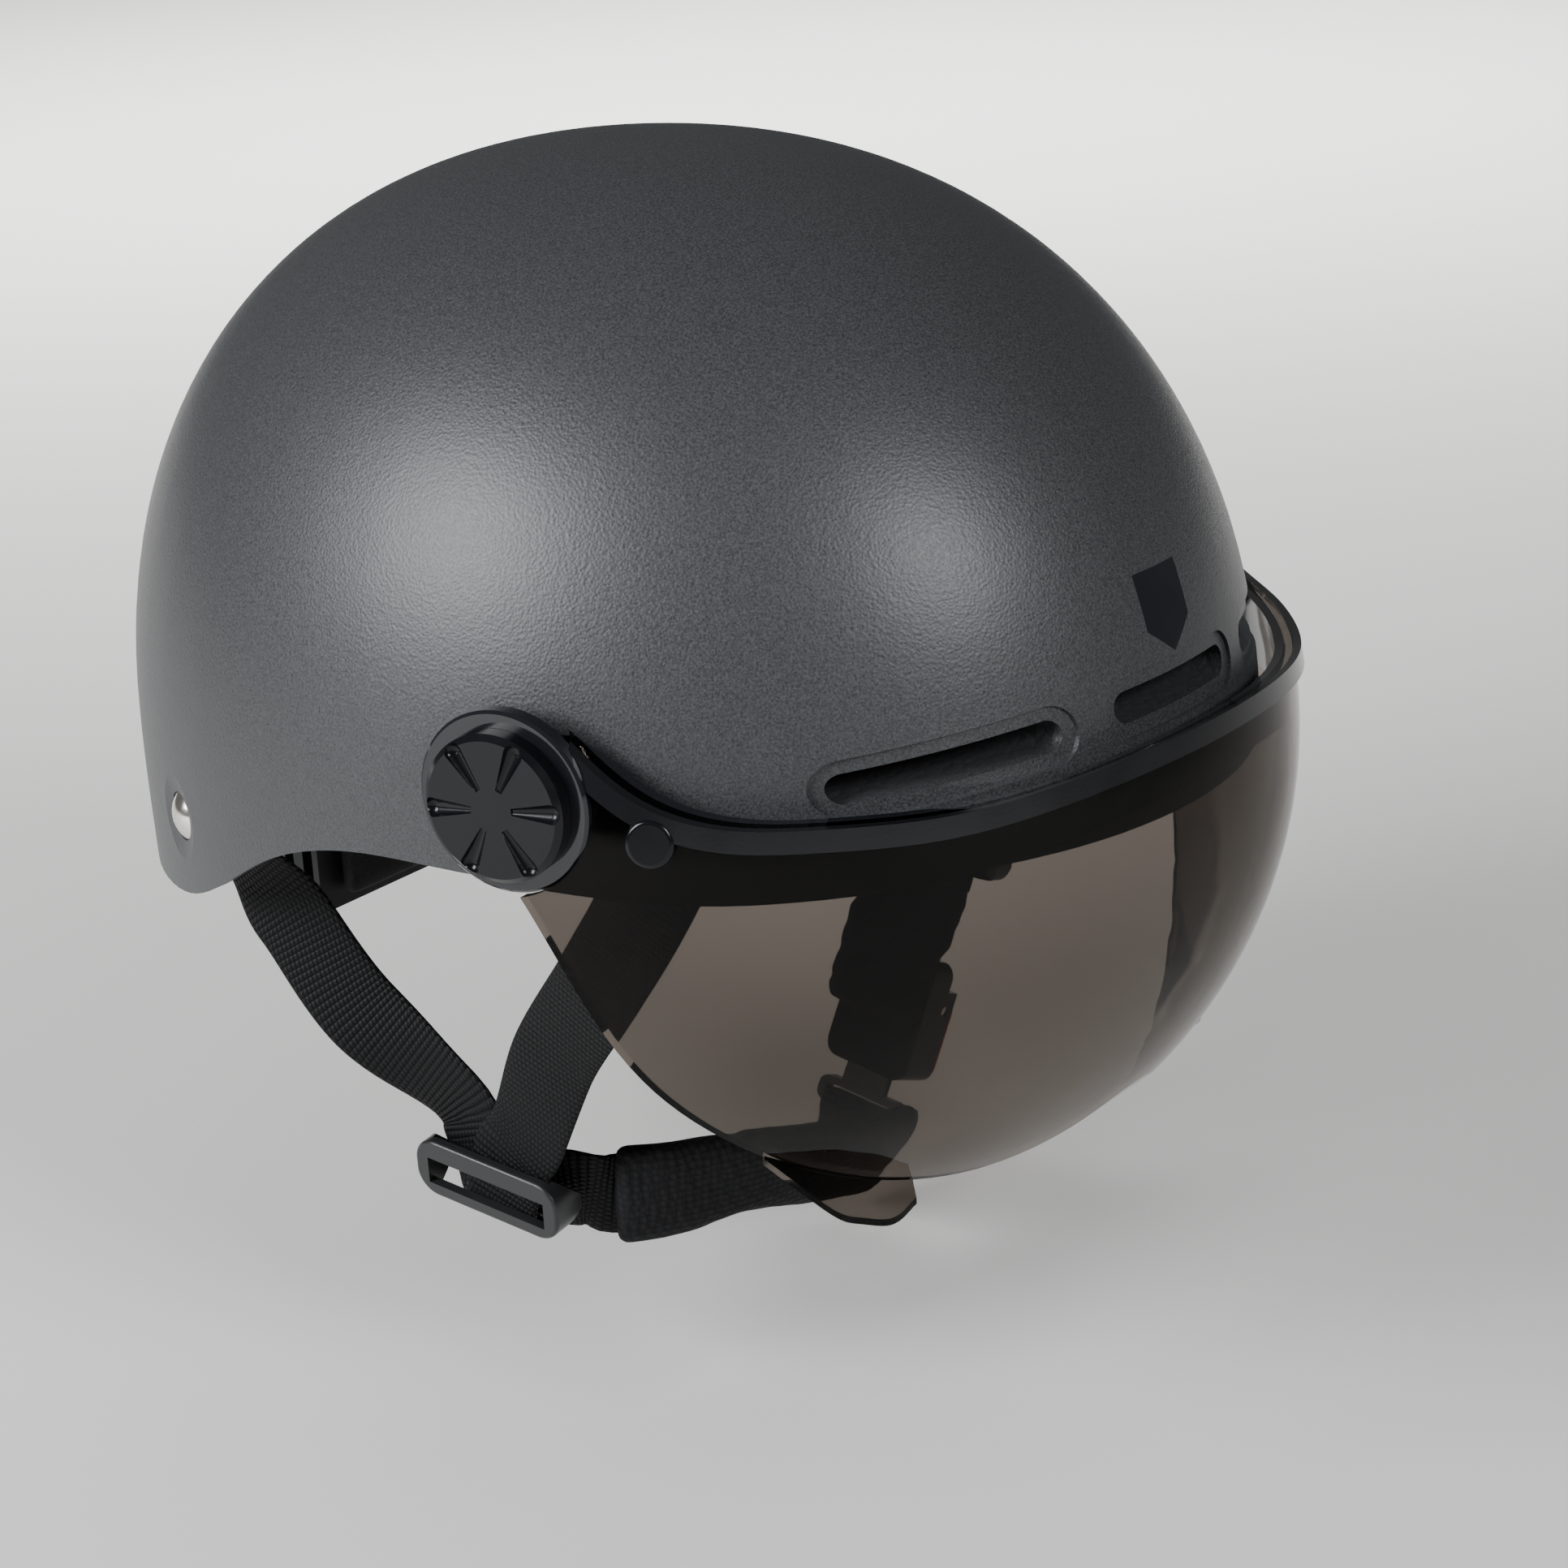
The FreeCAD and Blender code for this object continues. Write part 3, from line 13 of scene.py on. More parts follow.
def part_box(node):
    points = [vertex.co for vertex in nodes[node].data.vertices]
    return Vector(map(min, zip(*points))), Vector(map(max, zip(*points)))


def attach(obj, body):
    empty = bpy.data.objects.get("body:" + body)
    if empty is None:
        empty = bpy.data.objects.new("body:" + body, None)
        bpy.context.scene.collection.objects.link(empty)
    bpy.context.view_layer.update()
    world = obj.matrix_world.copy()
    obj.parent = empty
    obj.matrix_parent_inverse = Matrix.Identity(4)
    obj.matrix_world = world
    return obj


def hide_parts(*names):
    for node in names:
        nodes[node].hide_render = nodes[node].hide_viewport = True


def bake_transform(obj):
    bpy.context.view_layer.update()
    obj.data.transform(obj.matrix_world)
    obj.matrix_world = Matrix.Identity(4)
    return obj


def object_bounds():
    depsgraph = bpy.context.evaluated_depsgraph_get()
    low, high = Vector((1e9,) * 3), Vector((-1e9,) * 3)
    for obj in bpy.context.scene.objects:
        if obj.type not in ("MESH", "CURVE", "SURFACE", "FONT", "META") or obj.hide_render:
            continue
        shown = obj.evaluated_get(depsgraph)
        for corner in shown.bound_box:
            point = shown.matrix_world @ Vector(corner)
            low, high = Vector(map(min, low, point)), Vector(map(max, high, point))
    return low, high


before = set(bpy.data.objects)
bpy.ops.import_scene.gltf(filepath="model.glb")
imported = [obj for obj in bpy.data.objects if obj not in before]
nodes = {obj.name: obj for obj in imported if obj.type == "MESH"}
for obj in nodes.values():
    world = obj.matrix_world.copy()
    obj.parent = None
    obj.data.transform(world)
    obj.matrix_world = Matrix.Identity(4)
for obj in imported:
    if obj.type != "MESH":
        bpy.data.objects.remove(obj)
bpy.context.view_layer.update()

print("loaded", len(nodes), "nodes")

# %% [markdown]
# Places on the helmet are easiest to give in millimetres from its brim level,
# the widest level of the shell. The frame's own zero is the crown of the head,
# so one helper turns brim millimetres into frame metres.

# %% Brim millimetres to frame metres
CROWN_ABOVE_BRIM = 0.133
brim_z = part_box("outer_shell")[1].z - CROWN_ABOVE_BRIM


def at(x, y, z):
    return Vector((x * 0.001, y * 0.001, z * 0.001 + brim_z))


print("brim level at z = %.4f m" % brim_z)

# %% [markdown]
# The camera comes first: a short telephoto from the front right, a little
# above, which fixes what has to look right.

# %% Camera
TURN, TILT, ROLL = math.radians(50.02), math.radians(20.93), math.radians(2.94)
back = Vector((-math.sin(TURN) * math.cos(TILT), -math.cos(TURN) * math.cos(TILT), math.sin(TILT)))
level_right = Vector((math.cos(TURN), -math.sin(TURN), 0))
level_up = back.cross(level_right)
right = level_right * math.cos(ROLL) - level_up * math.sin(ROLL)
up = level_up * math.cos(ROLL) + level_right * math.sin(ROLL)

camera = bpy.data.objects.new("camera", bpy.data.cameras.new("camera"))
bpy.context.scene.collection.objects.link(camera)
camera.data.lens = 76.47
camera.data.sensor_width = 36.0
turned = Matrix((right, up, back)).transposed().to_4x4()
camera.matrix_world = Matrix.Translation(at(-540.9, -483.8, 258.0)) @ turned
camera.data.clip_start = 0.01
bpy.context.scene.camera = camera
print("camera stands", round(camera.location.length, 3), "m from the crown")

# %% [markdown]
# A finish is a shader plus small irregularities. One helper makes a material
# and hands back its shader; another adds a bump and a roughness change that
# both follow a noise in millimetres, so scale is easy to judge.

# %% Finish helpers
def finish(name, colour, roughness, metallic=0.0):
    mat = bpy.data.materials.new(name)
    mat.use_nodes = True
    shader = mat.node_tree.nodes["Principled BSDF"]
    shader.inputs["Base Color"].default_value = (*colour, 1.0)
    shader.inputs["Roughness"].default_value = roughness
    shader.inputs["Metallic"].default_value = metallic
    return mat, mat.node_tree, shader


def add(tree, kind, **values):
    node = tree.nodes.new(kind)
    for key, value in values.items():
        if key in node.inputs:
            node.inputs[key].default_value = value
        else:
            setattr(node, key, value)
    return node


def place(tree, mm=1.0):
    """Object coordinates measured so that one unit is mm millimetres."""
    coords = add(tree, "ShaderNodeTexCoord")
    mapping = add(tree, "ShaderNodeMapping")
    mapping.inputs["Scale"].default_value = (1000.0 / mm,) * 3
    tree.links.new(coords.outputs["Object"], mapping.inputs["Vector"])
    return mapping.outputs["Vector"]


def noise(tree, mm, detail=3.0):
    node = add(tree, "ShaderNodeTexNoise", Scale=1.0, Detail=detail)
    tree.links.new(place(tree, mm), node.inputs["Vector"])
    return node.outputs["Fac"]


def spread(tree, source, low, high):
    """Stretches a 0-1 value onto low-high."""
    node = add(tree, "ShaderNodeMapRange")
    node.inputs["From Min"].default_value = 0.3
    node.inputs["From Max"].default_value = 0.7
    node.inputs["To Min"].default_value = low
    node.inputs["To Max"].default_value = high
    tree.links.new(source, node.inputs["Value"])
    return node.outputs["Result"]


def tint(tree, source, dark, light):
    node = add(tree, "ShaderNodeMix", data_type="RGBA")
    node.inputs[6].default_value = (*dark, 1.0)
    node.inputs[7].default_value = (*light, 1.0)
    tree.links.new(source, node.inputs[0])
    return node.outputs[2]


def bump(tree, shader, height, distance_mm, strength=1.0):
    node = add(tree, "ShaderNodeBump", Strength=strength, Distance=distance_mm * 0.001)
    tree.links.new(height, node.inputs["Height"])
    previous = shader.inputs["Normal"].links
    if previous:
        tree.links.new(previous[0].from_socket, node.inputs["Normal"])
    tree.links.new(node.outputs["Normal"], shader.inputs["Normal"])
    return node


def moulded(name, colour, roughness, grain_mm=0.35, depth_mm=0.02, swing=0.06, metallic=0.0,
            shine=0.5):
    """Moulded plastic or metal: faint grain, slightly uneven gloss and colour."""
    mat, tree, shader = finish(name, colour, roughness, metallic)
    shader.inputs["Specular IOR Level"].default_value = shine
    fine = noise(tree, grain_mm)
    broad = noise(tree, 14.0, 2.0)
    gloss = spread(tree, broad, roughness - swing, roughness + swing)
    tree.links.new(gloss, shader.inputs["Roughness"])
    lighter = tuple(min(c * 1.25 + 0.002, 1.0) for c in colour)
    tree.links.new(tint(tree, broad, colour, lighter), shader.inputs["Base Color"])
    bump(tree, shader, fine, depth_mm)
    return mat


print("helpers ready")

# %% [markdown]
# The shell is matte graphite paint over a fine leather-like grain. Small cells
# of about half a millimetre give the grain, a noise breaks them up, and a few
# bright flecks give the metallic sparkle.

# %% Shell finish
shell_mat, tree, shader = finish("graphite_grain", (0.034, 0.035, 0.037), 0.42, 0.15)
cells = add(tree, "ShaderNodeTexVoronoi", feature="SMOOTH_F1", Scale=1.0)
tree.links.new(place(tree, 0.62), cells.inputs["Vector"])
fleck = noise(tree, 0.45, 2.0)
broad = noise(tree, 60.0, 2.0)
tree.links.new(tint(tree, spread(tree, fleck, 0.0, 1.0), (0.024, 0.0245, 0.026), (0.058, 0.0595, 0.063)),
               shader.inputs["Base Color"])
tree.links.new(spread(tree, fleck, 0.37, 0.5), shader.inputs["Roughness"])
bump(tree, shader, cells.outputs["Distance"], 0.075, 0.9)
bump(tree, shader, broad, 0.1, 0.3)
print("shell finish", shell_mat.name)

# %% [markdown]
# The lens is one clear moulding dyed smoke brown. It is real glass to the
# shader: light goes through it, bends a little, and mirrors the room.

# %% Lens finish
lens_mat, tree, shader = finish("smoked_lens", (0.16, 0.135, 0.115), 0.02)
shader.inputs["Transmission Weight"].default_value = 1.0
shader.inputs["IOR"].default_value = 1.2
shader.inputs["Specular IOR Level"].default_value = 0.9
haze = noise(tree, 40.0, 2.0)
tree.links.new(spread(tree, haze, 0.012, 0.03), shader.inputs["Roughness"])
bump(tree, shader, noise(tree, 55.0, 1.0), 0.05, 0.25)
print("lens finish", lens_mat.name)

# %% [markdown]
# The other hard pieces are black mouldings of different gloss, red for the
# buckle's lever, and bright metal for rivets and pins.

# %% Hard finishes
gloss_black = moulded("gloss_black", (0.007, 0.007, 0.009), 0.08, 0.9, 0.002, 0.02)
satin_black = moulded("satin_black", (0.007, 0.007, 0.008), 0.36, 0.4, 0.02, shine=0.25)
knob_black = moulded("knob_black", (0.003, 0.003, 0.004), 0.2, 0.5, 0.006, shine=0.25)
soft_black = moulded("soft_black", (0.005, 0.005, 0.006), 0.16, 0.6, 0.006, 0.04)
divider_grey = moulded("divider_grey", (0.016, 0.016, 0.017), 0.34, 0.5, 0.02, shine=0.4)
lever_red = moulded("lever_red", (0.85, 0.03, 0.018), 0.2, 0.8, 0.02)
bright_steel = moulded("bright_steel", (0.72, 0.68, 0.62), 0.16, 0.5, 0.005, 0.05, 1.0)
zinc_steel = moulded("zinc_steel", (0.5, 0.5, 0.52), 0.32, 0.5, 0.01, 0.08, 1.0)
foam_bead, tree, shader = finish("foam_bead", (0.02, 0.02, 0.022), 0.75)
beads = add(tree, "ShaderNodeTexVoronoi", feature="DISTANCE_TO_EDGE", Scale=1.0)
tree.links.new(place(tree, 3.2), beads.inputs["Vector"])
bump(tree, shader, beads.outputs["Distance"], 0.5, 0.8)
tree.links.new(tint(tree, noise(tree, 1.2), (0.014, 0.014, 0.015), (0.03, 0.03, 0.033)), shader.inputs["Base Color"])
print("hard finishes ready")

# %% Dress the CAD pieces
dress = {
    "outer_shell": shell_mat, "foam_liner": foam_bead, "front_badge": gloss_black,
    "strap_rivets": bright_steel, "strap_washers": zinc_steel, "pivot_bases": satin_black,
    "pivot_inserts": satin_black, "pivot_screws": zinc_steel, "friction_washers": soft_black,
    "visor_lens": lens_mat, "visor_frame": gloss_black, "visor_rim": soft_black,
    "visor_studs": knob_black, "knob_right": knob_black, "knob_left": knob_black,
    "ring_housing": satin_black, "ring_cover": satin_black, "dial_knob": satin_black,
    "dial_pinion": satin_black, "band_right": satin_black, "band_left": satin_black,
    "divider_right": divider_grey, "divider_left": divider_grey, "buckle_body": gloss_black,
    "buckle_lever": lever_red, "buckle_pin": bright_steel, "buckle_spring": zinc_steel,
    "buckle_tongue": satin_black,
}
for name, mat in dress.items():
    nodes[name].data.materials.clear()
    nodes[name].data.materials.append(mat)
print("dressed", len(dress), "CAD pieces")

# %% [markdown]
# Webbing is woven flat, so its pattern has to follow the strap, not the room.
# The strap's mesh carries a UV map in metres (across, along). Each weft row is
# a rounded rib; along it, warp threads rise and fall, half a thread out of
# step from one row to the next. The colour follows the same height: painted
# shade in the valleys, painted highlight on the crests.

# %% Webbing finish
def webbing_finish(name, shaded_valley, lit_crest, row_mm=1.55, thread_mm=1.15):
    mat, tree, shader = finish(name, lit_crest, 0.5)
    uv = add(tree, "ShaderNodeUVMap", uv_map="weave")
    split = add(tree, "ShaderNodeSeparateXYZ")
    tree.links.new(uv.outputs["UV"], split.inputs["Vector"])

    def maths(kind, a, b=None):
        node = add(tree, "ShaderNodeMath", operation=kind)
        for socket, value in zip(node.inputs, (a, b)):
            if value is None:
                continue
            if isinstance(value, (int, float)):
                socket.default_value = value
            else:
                tree.links.new(value, socket)
        return node.outputs[0]

    rows = maths("MULTIPLY", split.outputs["Y"], 1000.0 / row_mm)
    rib = maths("SINE", maths("MULTIPLY", maths("FRACT", rows), math.pi))
    threads = maths("MULTIPLY", split.outputs["X"], 1000.0 / thread_mm)
    shifted = maths("ADD", threads, maths("MULTIPLY", maths("FLOOR", rows), 0.5))
    thread = maths("ABSOLUTE", maths("SINE", maths("MULTIPLY", shifted, math.pi)))
    height = maths("MULTIPLY", rib, maths("ADD", maths("MULTIPLY", thread, 0.65), 0.35))
    # painted shade and highlight: darker in the weave valleys, lighter on the rib crests
    tree.links.new(tint(tree, height, shaded_valley, lit_crest), shader.inputs["Base Color"])
    bump(tree, shader, height, 0.3, 1.0)
    shader.inputs["Specular IOR Level"].default_value = 0.12
    return mat


# black webbing with painted shade in its weave valleys and painted highlight on its crests
web_mat = webbing_finish("black_webbing", (0.0015, 0.0015, 0.0018), (0.011, 0.011, 0.012))
print("webbing finish", web_mat.name)

# %% [markdown]
# A strap is a flattened ring of points pushed along a smooth path. Extruding
# the ring step by step keeps every cross-section a clean, rounded ribbon, and
# the same walk fills in the UV map.

# %% Strap maker
def smooth_path(points, step=0.0016):
    """A soft curve through the points, as evenly spaced positions."""
    dense = []
    last = len(points) - 1
    for k in range(last):
        p0, p1 = points[max(k - 1, 0)], points[k]
        p2, p3 = points[k + 1], points[min(k + 2, last)]
        parts = max(int((p2 - p1).length / step), 2)
        for i in range(parts):
            t = i / parts
            dense.append(0.5 * ((2 * p1) + (p2 - p0) * t + (2 * p0 - 5 * p1 + 4 * p2 - p3) * t * t
                                + (3 * p1 - p0 - 3 * p2 + p3) * t ** 3))
    dense.append(points[-1].copy())
    return dense


def strap(name, stations, width, thick, mat, sides=20, edge=0.28, crown=0.0, step=0.0016):
    """Closed ribbon along stations of (centre, outward direction)."""
    centres = smooth_path([p for p, _ in stations], step)
    bm = bmesh.new()
    layer = bm.verts.layers.float_vector.new("weave")
    bmesh.ops.create_circle(bm, cap_ends=False, segments=sides, radius=1.0)
    ring = sorted(bm.verts, key=lambda v: math.atan2(v.co.y, v.co.x))
    corners = [(v.co.x, v.co.y) for v in ring]
    first = list(ring)
    count = len(centres)
    run = 0.0
    knots = [p for p, _ in stations]
    reach = [0.0]
    for a, b in zip(knots, knots[1:]):
        reach.append(reach[-1] + (b - a).length)
    for k in range(count):
        before, after = centres[max(k - 1, 0)], centres[min(k + 1, count - 1)]
        along = (after - before).normalized()
        if k:
            run += (centres[k] - centres[k - 1]).length
        share = min(run / max(reach[-1], 1e-9), 1.0) * reach[-1]
        seg = max(i for i in range(len(reach) - 1) if reach[i] <= share + 1e-12)
        mix = (share - reach[seg]) / (reach[seg + 1] - reach[seg])
        mix = mix * mix * (3 - 2 * mix)
        out_before = Vector(stations[seg][1]).normalized()
        out_after = Vector(stations[seg + 1][1]).normalized()
        out = out_before.lerp(out_after, mix)
        side = along.cross(out).normalized()
        normal = side.cross(along)
        if k:
            edges = [bm.edges.get((ring[i], ring[(i + 1) % sides])) for i in range(sides)]
            made = bmesh.ops.extrude_edge_only(bm, edges=edges)["geom"]
            fresh = [g for g in made if isinstance(g, bmesh.types.BMVert)]
            follow = {}
            for v in fresh:
                for e in v.link_edges:
                    other = e.other_vert(v)
                    if other in ring:
                        follow[other] = v
            ring = [follow[v] for v in ring]
        for v, (c, s) in zip(ring, corners):
            flat = math.copysign(abs(c) ** edge, c)
            lift = math.copysign(abs(s) ** 0.75, s)
            bulge = 1.0 + crown * (1.0 - flat * flat)
            v.co = centres[k] + side * (flat * width / 2) + normal * (lift * thick / 2 * bulge)
            v[layer] = Vector((flat * width / 2, run, 0.0))
    bmesh.ops.contextual_create(bm, geom=ring)
    bmesh.ops.contextual_create(bm, geom=first)
    bmesh.ops.recalc_face_normals(bm, faces=bm.faces)
    uv = bm.loops.layers.uv.new("weave")
    for face in bm.faces:
        face.smooth = True
        for loop in face.loops:
            loop[uv].uv = loop.vert[layer].xy
    mesh = bpy.data.meshes.new(name)
    bm.to_mesh(mesh)
    bm.free()
    piece = bpy.data.objects.new(name, mesh)
    bpy.context.scene.collection.objects.link(piece)
    mesh.materials.append(mat)
    print(name, "%.0f mm long," % (run * 1000), len(mesh.polygons), "faces")
    return piece


# %% [markdown]
# Each divider hangs at its own angle. Its own directions, along the strap,
# across it and outward, are worked out once, so straps can be threaded
# through it in simple millimetres.

# %% Divider frames
def axes_at(x, y, z, along, outward):
    a = Vector(along).normalized()
    across = Vector(outward).cross(a).normalized()
    out = a.cross(across)
    centre = at(x, y, z)
    return lambda s, c, o: centre + (a * s + across * c + out * o) * 0.001, out, a


right_gate, right_out, right_down = axes_at(
    -73.8, -2.5, -88.8, along=(0.095, 0.098, -0.976), outward=(-0.98, -0.05, -0.1))
left_gate, left_out, left_down = axes_at(
    80.2, -13.0, -57.5, along=(-0.25, 0, -0.97), outward=(0.97, 0, -0.25))
buckle, buckle_out, buckle_down = axes_at(
    62.0, -9.5, -98.0, along=(-0.391, 0.109, -0.913), outward=(0.92, 0, -0.39))
PLY = 0.95          # half the step from one strap to the one lying on it
BEHIND = 5.7        # depth behind a divider where the chin webbing is sewn


def through(gate, out, down, side, ply, curled):
    """Last stations of a strap in a divider; a curled one turns in below it."""
    level = ply * PLY
    stations = [(gate(-18, 11.5 * side, level + 0.6 * ply), out), (gate(-10, 6 * side, level), out),
                (gate(-5, 4 * side, level), out), (gate(0, 2.5 * side, level), out)]
    if not curled:
        return stations + [(gate(9, 0.5 * side, level), out)]
    reach = 7.9 + 1.95 * max(ply, 0)
    return stations + [(gate(5.2, 1.5 * side, level), out),
                       (gate(reach - 0.8, side, level - 1.4), out + down),
                       (gate(reach, side, -4.3), down)]


WEB_WIDTH, WEB_THICK = 0.020, 0.0017
strap_paths = {
    "strap_rear_right": [(at(-94, 58, -4), (-0.92, 0.39, 0)), (at(-91.5, 50, -15), (-0.95, 0.2, 0.1)),
                         (at(-88, 40.5, -29), (-0.9, -0.3, 0.25)), (at(-82.5, 27.5, -51), (-0.88, -0.4, 0.25))]
    + through(right_gate, right_out, right_down, -1, -1, True),
    "strap_front_right": [(at(-88.5, -75, 13), (-0.88, -0.47, 0)), (at(-89, -66, -3), (-0.92, -0.35, 0.1)),
                          (at(-86, -50, -24), (-0.9, -0.4, 0.2)), (at(-80.5, -30, -48), (-0.9, -0.38, 0.22))]
    + through(right_gate, right_out, right_down, 1, 1, True),
    "strap_rear_left": [(at(94, 58, -4), (0.92, 0.39, 0)), (at(91.5, 50, -15), (0.94, 0.33, 0)),
                        (at(90, 34, -28), (0.95, 0.2, 0.2)), (at(87.5, 12, -40), (0.96, 0.1, 0.2))]
    + through(left_gate, left_out, left_down, 1, -1, False),
    "strap_front_left": [(at(88.5, -75, 13), (0.88, -0.47, 0)), (at(89, -66, -3), (0.92, -0.35, 0.1)),
                         (at(86.5, -50, -20), (0.95, -0.25, 0.15)), (at(83, -36, -34), (0.96, -0.1, 0.2))]
    + through(left_gate, left_out, left_down, -1, 1, False),
    "strap_buckle": [(left_gate(2.4, 0, -2.95), left_out), (left_gate(7, 0, -2.95), left_out),
                     (left_gate(11.5, 0, -2.95), left_out), (buckle(-23, 0, 0), buckle_out),
                     (buckle(-17, 0, 0), buckle_out), (buckle(-12.6, 0, 0), buckle_out)],
}
for name, path in strap_paths.items():
    piece = strap(name + "_woven", path, WEB_WIDTH, WEB_THICK, web_mat)
    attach(piece, "helmet")
    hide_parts(name)

# %% [markdown]
# The chin webbing starts sewn between the right-hand straps, runs under the
# chin and ends in a loop on the buckle's toothed tongue. Its last stretch
# follows the tongue. The webbing stays fixed in place; only the loop rides on the tongue.

# %% Chin webbing
LOOP_END = 38.6
chin_path = [
    (right_gate(0.5, -15, -BEHIND), right_out), (right_gate(0.7, -2, -BEHIND), right_out),
    (right_gate(0.8, 10, -BEHIND - 0.5), right_out), (right_gate(0, 18, -BEHIND - 2.6), right_out),
    (at(-60.5, -25.5, -91), (-0.8, -0.6, 0)), (at(-50, -34, -91.5), (-0.65, -0.75, -0.1)),
    (at(-34, -41.5, -92.5), (-0.45, -0.85, -0.25)), (at(-14, -45.5, -98), (-0.15, -0.9, -0.4)),
    (at(5, -44, -104), (0.1, -0.85, -0.5)), (at(21, -38.5, -110.5), (0.35, -0.75, -0.6)),
    (at(33, -27, -119.5), (0.55, -0.55, -0.6)), (at(40.5, -15.5, -128), (0.72, -0.35, -0.55)),
    (buckle(LOOP_END + 0.4, 0, 0), buckle_out),
]
chin = strap("chin_strap_woven", chin_path, WEB_WIDTH, WEB_THICK, web_mat)
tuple(buckle(LOOP_END, 0, 0))
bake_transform(chin)
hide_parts("chin_strap")

half_loop = [(LOOP_END, 0.8, 0.0), (33.0, 1.3, 0.0), (29.6, 2.8, 0.0), (27.4, 2.9, 0.0),
             (25.6, 2.3, 0.7)]
loop_path = [(buckle(s, 0, o), buckle_out - buckle_down * turn) for s, o, turn in half_loop]
loop_path.append((buckle(25.1, 0, 0), -buckle_down))
loop_path += [(buckle(s, 0, -o), -buckle_out - buckle_down * turn)
              for s, o, turn in reversed(half_loop)]
loop = strap("tongue_loop_woven", loop_path, WEB_WIDTH, 0.0014, web_mat, step=0.0008)
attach(loop, "tongue")
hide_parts("tongue_loop")

# %% [markdown]
# Pads are cloth over soft foam. Each starts as a copy of its plain solid,
# is remeshed into small even faces, and is blown up a little with Blender's
# cloth so that its faces crown and its edges round, as a sewn pad's do.

# %% Pad finish
def cloth_finish(name, colour, thread_mm, depth_mm):
    mat, tree, shader = finish(name, colour, 0.85)
    weave = add(tree, "ShaderNodeTexVoronoi", feature="F1", Scale=1.0, Randomness=0.35)
    tree.links.new(place(tree, thread_mm), weave.inputs["Vector"])
    # painted highlight on the thread crests and painted shade in the valleys between them, following the weave cells
    lit_crest, shaded_valley = tuple(c * 1.9 for c in colour), tuple(c * 0.5 for c in colour)
    tree.links.new(tint(tree, weave.outputs["Distance"], lit_crest, shaded_valley), shader.inputs["Base Color"])
    bump(tree, shader, weave.outputs["Distance"], depth_mm, 1.0)
    bump(tree, shader, noise(tree, 9.0), 0.5, 0.5)
    shader.inputs["Specular IOR Level"].default_value = 0.2
    return mat


# pad cloth and spacer mesh, both with painted shade between threads and painted highlight on them
pad_mat = cloth_finish("brushed_pad", (0.012, 0.012, 0.013), 0.7, 0.12)
mesh_mat = cloth_finish("spacer_mesh", (0.009, 0.009, 0.010), 1.7, 0.5)

# %% Pad maker
def inflate(piece, pressure, cap, voxel):
    """Voxel remesh, a short cloth run with inner pressure, and a cap on travel."""
    bpy.context.view_layer.objects.active = piece
    remesh = piece.modifiers.new("even", "REMESH")
    remesh.mode = "VOXEL"
    remesh.voxel_size = voxel
    bpy.context.view_layer.update()
    graph = bpy.context.evaluated_depsgraph_get()
    piece.data = bpy.data.meshes.new_from_object(piece.evaluated_get(graph))
    piece.modifiers.clear()
    start = [v.co.copy() for v in piece.data.vertices]
    cloth = piece.modifiers.new("swell", "CLOTH")
    cloth.settings.use_pressure = True
    cloth.settings.uniform_pressure_force = pressure
    cloth.settings.effector_weights.gravity = 0.0
    cloth.settings.quality = 5
    for step in range(1, 21):
        bpy.context.scene.frame_set(step)
    graph = bpy.context.evaluated_depsgraph_get()
    swollen = bpy.data.meshes.new_from_object(piece.evaluated_get(graph))
    piece.modifiers.clear()
    for before, v in zip(start, swollen.vertices):
        shift = v.co - before
        if shift.length > cap:
            v.co = before + shift.normalized() * cap
    piece.data = swollen
    bpy.context.scene.frame_set(1)
    bm = bmesh.new()
    bm.from_mesh(piece.data)
    bmesh.ops.smooth_vert(bm, verts=bm.verts, factor=0.5,
                          use_axis_x=True, use_axis_y=True, use_axis_z=True)
    for face in bm.faces:
        face.smooth = True
    bm.to_mesh(piece.data)
    bm.free()
    soft = piece.modifiers.new("soft", "SUBSURF")
    soft.levels = soft.render_levels = 1
    return piece


def pad_from(node, mat, pressure=4.0, cap=0.0012, voxel=0.003):
    bm = bmesh.new()
    bm.from_mesh(nodes[node].data)
    bmesh.ops.remove_doubles(bm, verts=bm.verts, dist=1e-5)
    mesh = bpy.data.meshes.new(node + "_cloth")
    bm.to_mesh(mesh)
    bm.free()
    piece = bpy.data.objects.new(node + "_cloth", mesh)
    bpy.context.scene.collection.objects.link(piece)
    inflate(piece, pressure, cap, voxel)
    piece.data.materials.clear()
    piece.data.materials.append(mat)
    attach(piece, "helmet")
    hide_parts(node)
    print(piece.name, len(piece.data.polygons), "faces")
    return piece


for node in ("pad_brow", "pad_crown", "pad_right", "pad_left", "pad_back", "pad_nape"):
    pad_from(node, pad_mat)
pad_from("buckle_pad", pad_mat, cap=0.0015)

# %% Chin sleeve
SLEEVE_WIDTH, SLEEVE_THICK = 0.0255, 0.0072
sleeve = strap("chin_pad_cloth", chin_path[4:10], SLEEVE_WIDTH, SLEEVE_THICK, mesh_mat,
               sides=28, edge=0.4, crown=0.15)
inflate(sleeve, 4.0, 0.0015, 0.0022)
sleeve.data.materials.clear()
sleeve.data.materials.append(mesh_mat)
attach(sleeve, "helmet")
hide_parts("chin_pad")
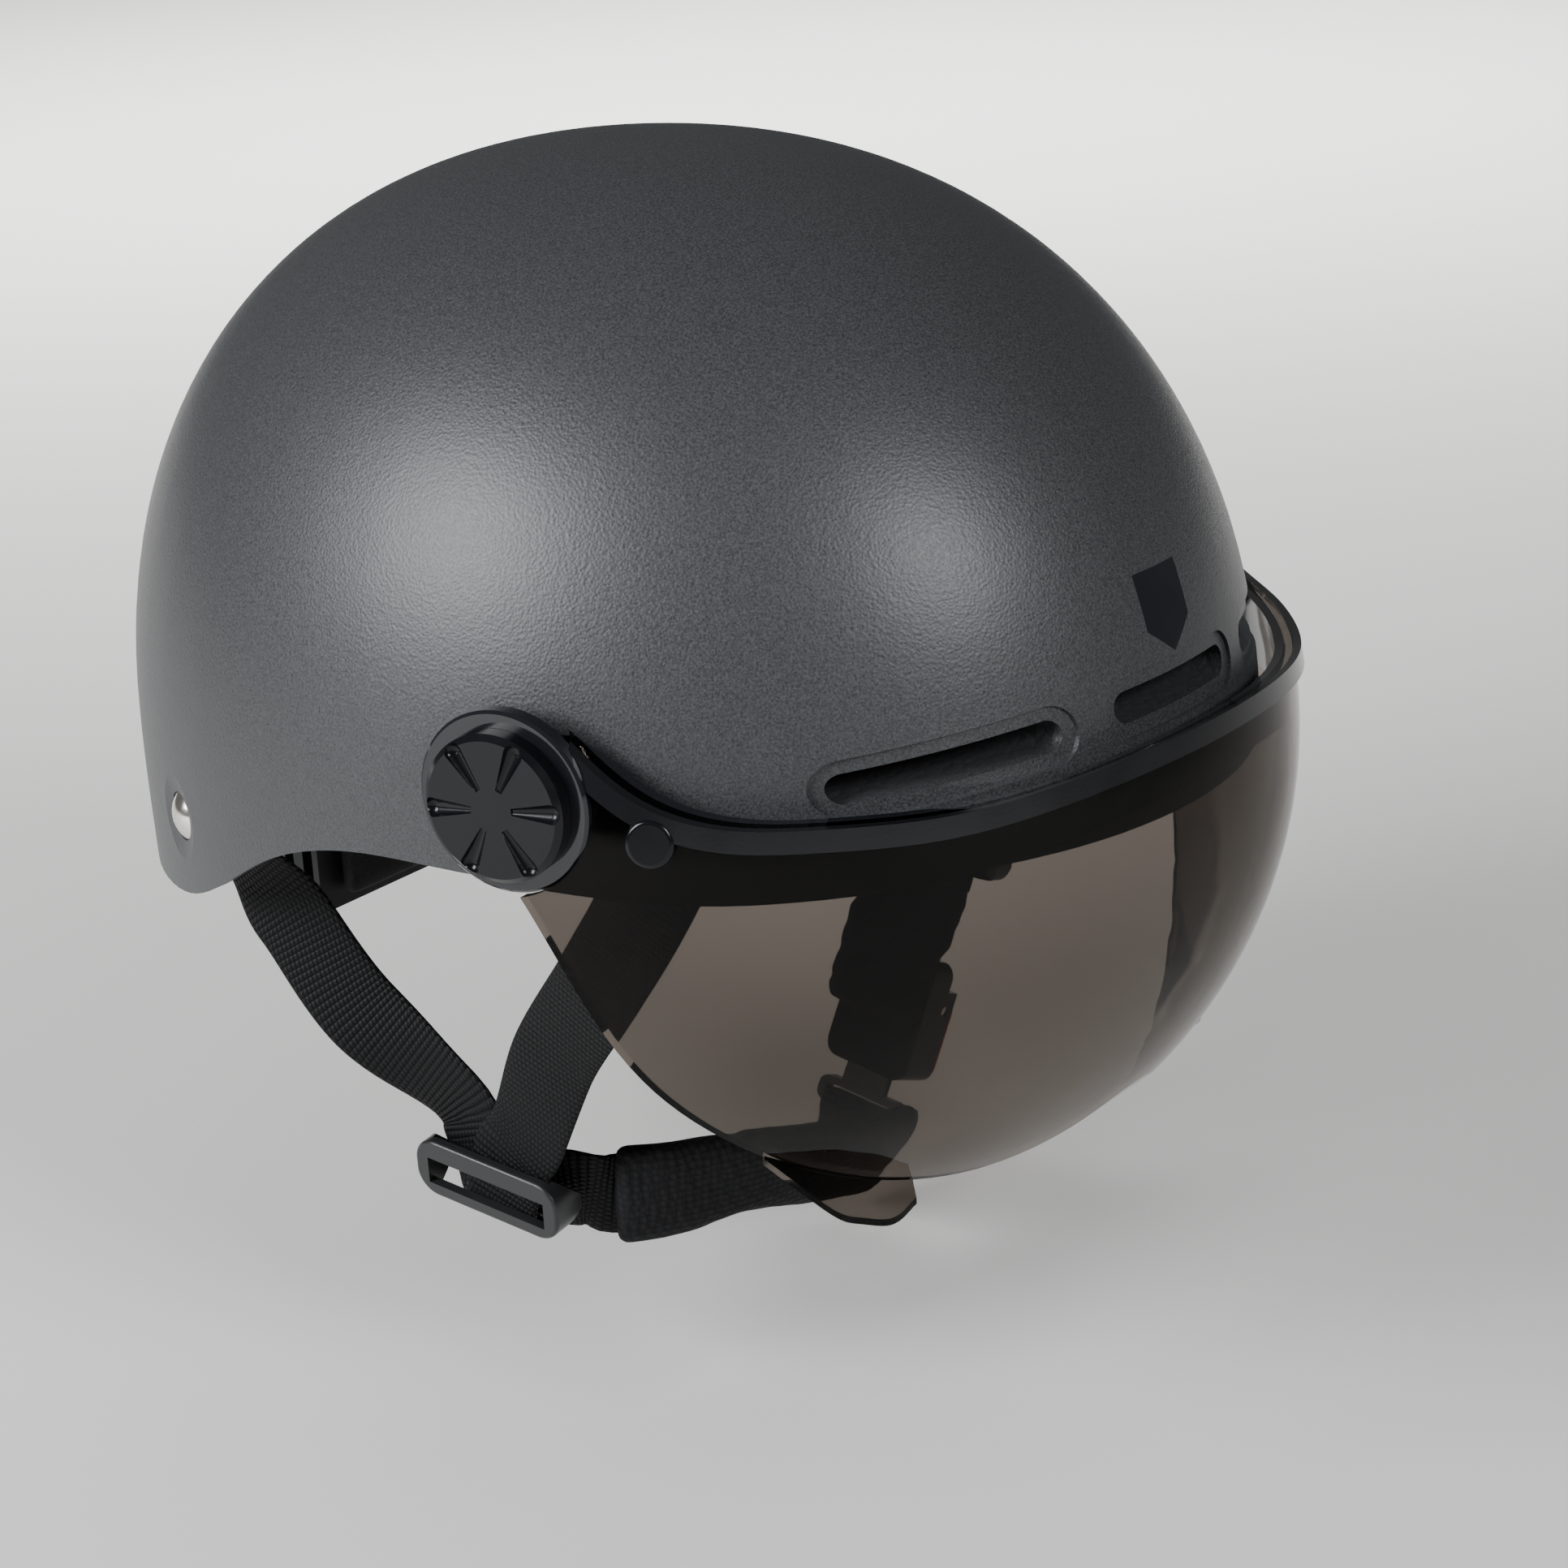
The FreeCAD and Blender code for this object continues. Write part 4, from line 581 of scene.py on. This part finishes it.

# %% [markdown]
# The room is plain: a pale flat floor, with large soft lights. The lights
# stand where windows would, left and front right, and little comes from
# above, so the crown of the shell stays dark.

# %% Floor
low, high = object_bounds()
FLOOR_Z = low.z - 0.004
bm = bmesh.new()
bmesh.ops.create_grid(bm, x_segments=1, y_segments=1, size=3.0)
bmesh.ops.translate(bm, verts=bm.verts, vec=(0, 0, FLOOR_Z))
mesh = bpy.data.meshes.new("floor")
bm.to_mesh(mesh)
bm.free()
floor = bpy.data.objects.new("floor", mesh)
bpy.context.scene.collection.objects.link(floor)
floor_mat, tree, shader = finish("pale_floor", (0.78, 0.765, 0.745), 0.6)
tree.links.new(tint(tree, noise(tree, 300.0), (0.765, 0.75, 0.73), (0.79, 0.775, 0.755)), shader.inputs["Base Color"])
mesh.materials.append(floor_mat)

# %% Lights
def window(name, spot, aim, wide, tall, power, colour=(1, 1, 1)):
    data = bpy.data.lights.new(name, "AREA")
    data.shape = "RECTANGLE"
    data.size, data.size_y = wide, tall
    data.energy = power
    data.color = colour
    lamp = bpy.data.objects.new(name, data)
    bpy.context.scene.collection.objects.link(lamp)
    lamp.location = spot
    lamp.rotation_euler = (Vector(aim) - Vector(spot)).to_track_quat("-Z", "Y").to_euler()
    return lamp


centre = (low + high) / 2
DAYLIGHT = (0.95, 0.98, 1.0)
left_spot = centre + level_right * -1.2 - back * -0.7 + Vector((0, 0, 0.45))
front_spot = centre + level_right * 1.0 + back * 1.3 + Vector((0, 0, 0.5))
back_spot = centre - back * 1.7 + Vector((0, 0, 1.6))
window("left_window", left_spot, centre, 0.75, 0.75, 36, DAYLIGHT)
window("front_window", front_spot, centre, 0.5, 0.6, 24, DAYLIGHT)
window("room_back", back_spot, centre - back * 3.0, 2.0, 1.0, 90)
world = bpy.data.worlds.new("room")
bpy.context.scene.world = world
world.use_nodes = True
world.node_tree.nodes["Background"].inputs["Color"].default_value = (0.80, 0.81, 0.82, 1)
world.node_tree.nodes["Background"].inputs["Strength"].default_value = 0.16
print("lights set")

# %% End of the scene
print("scene built")
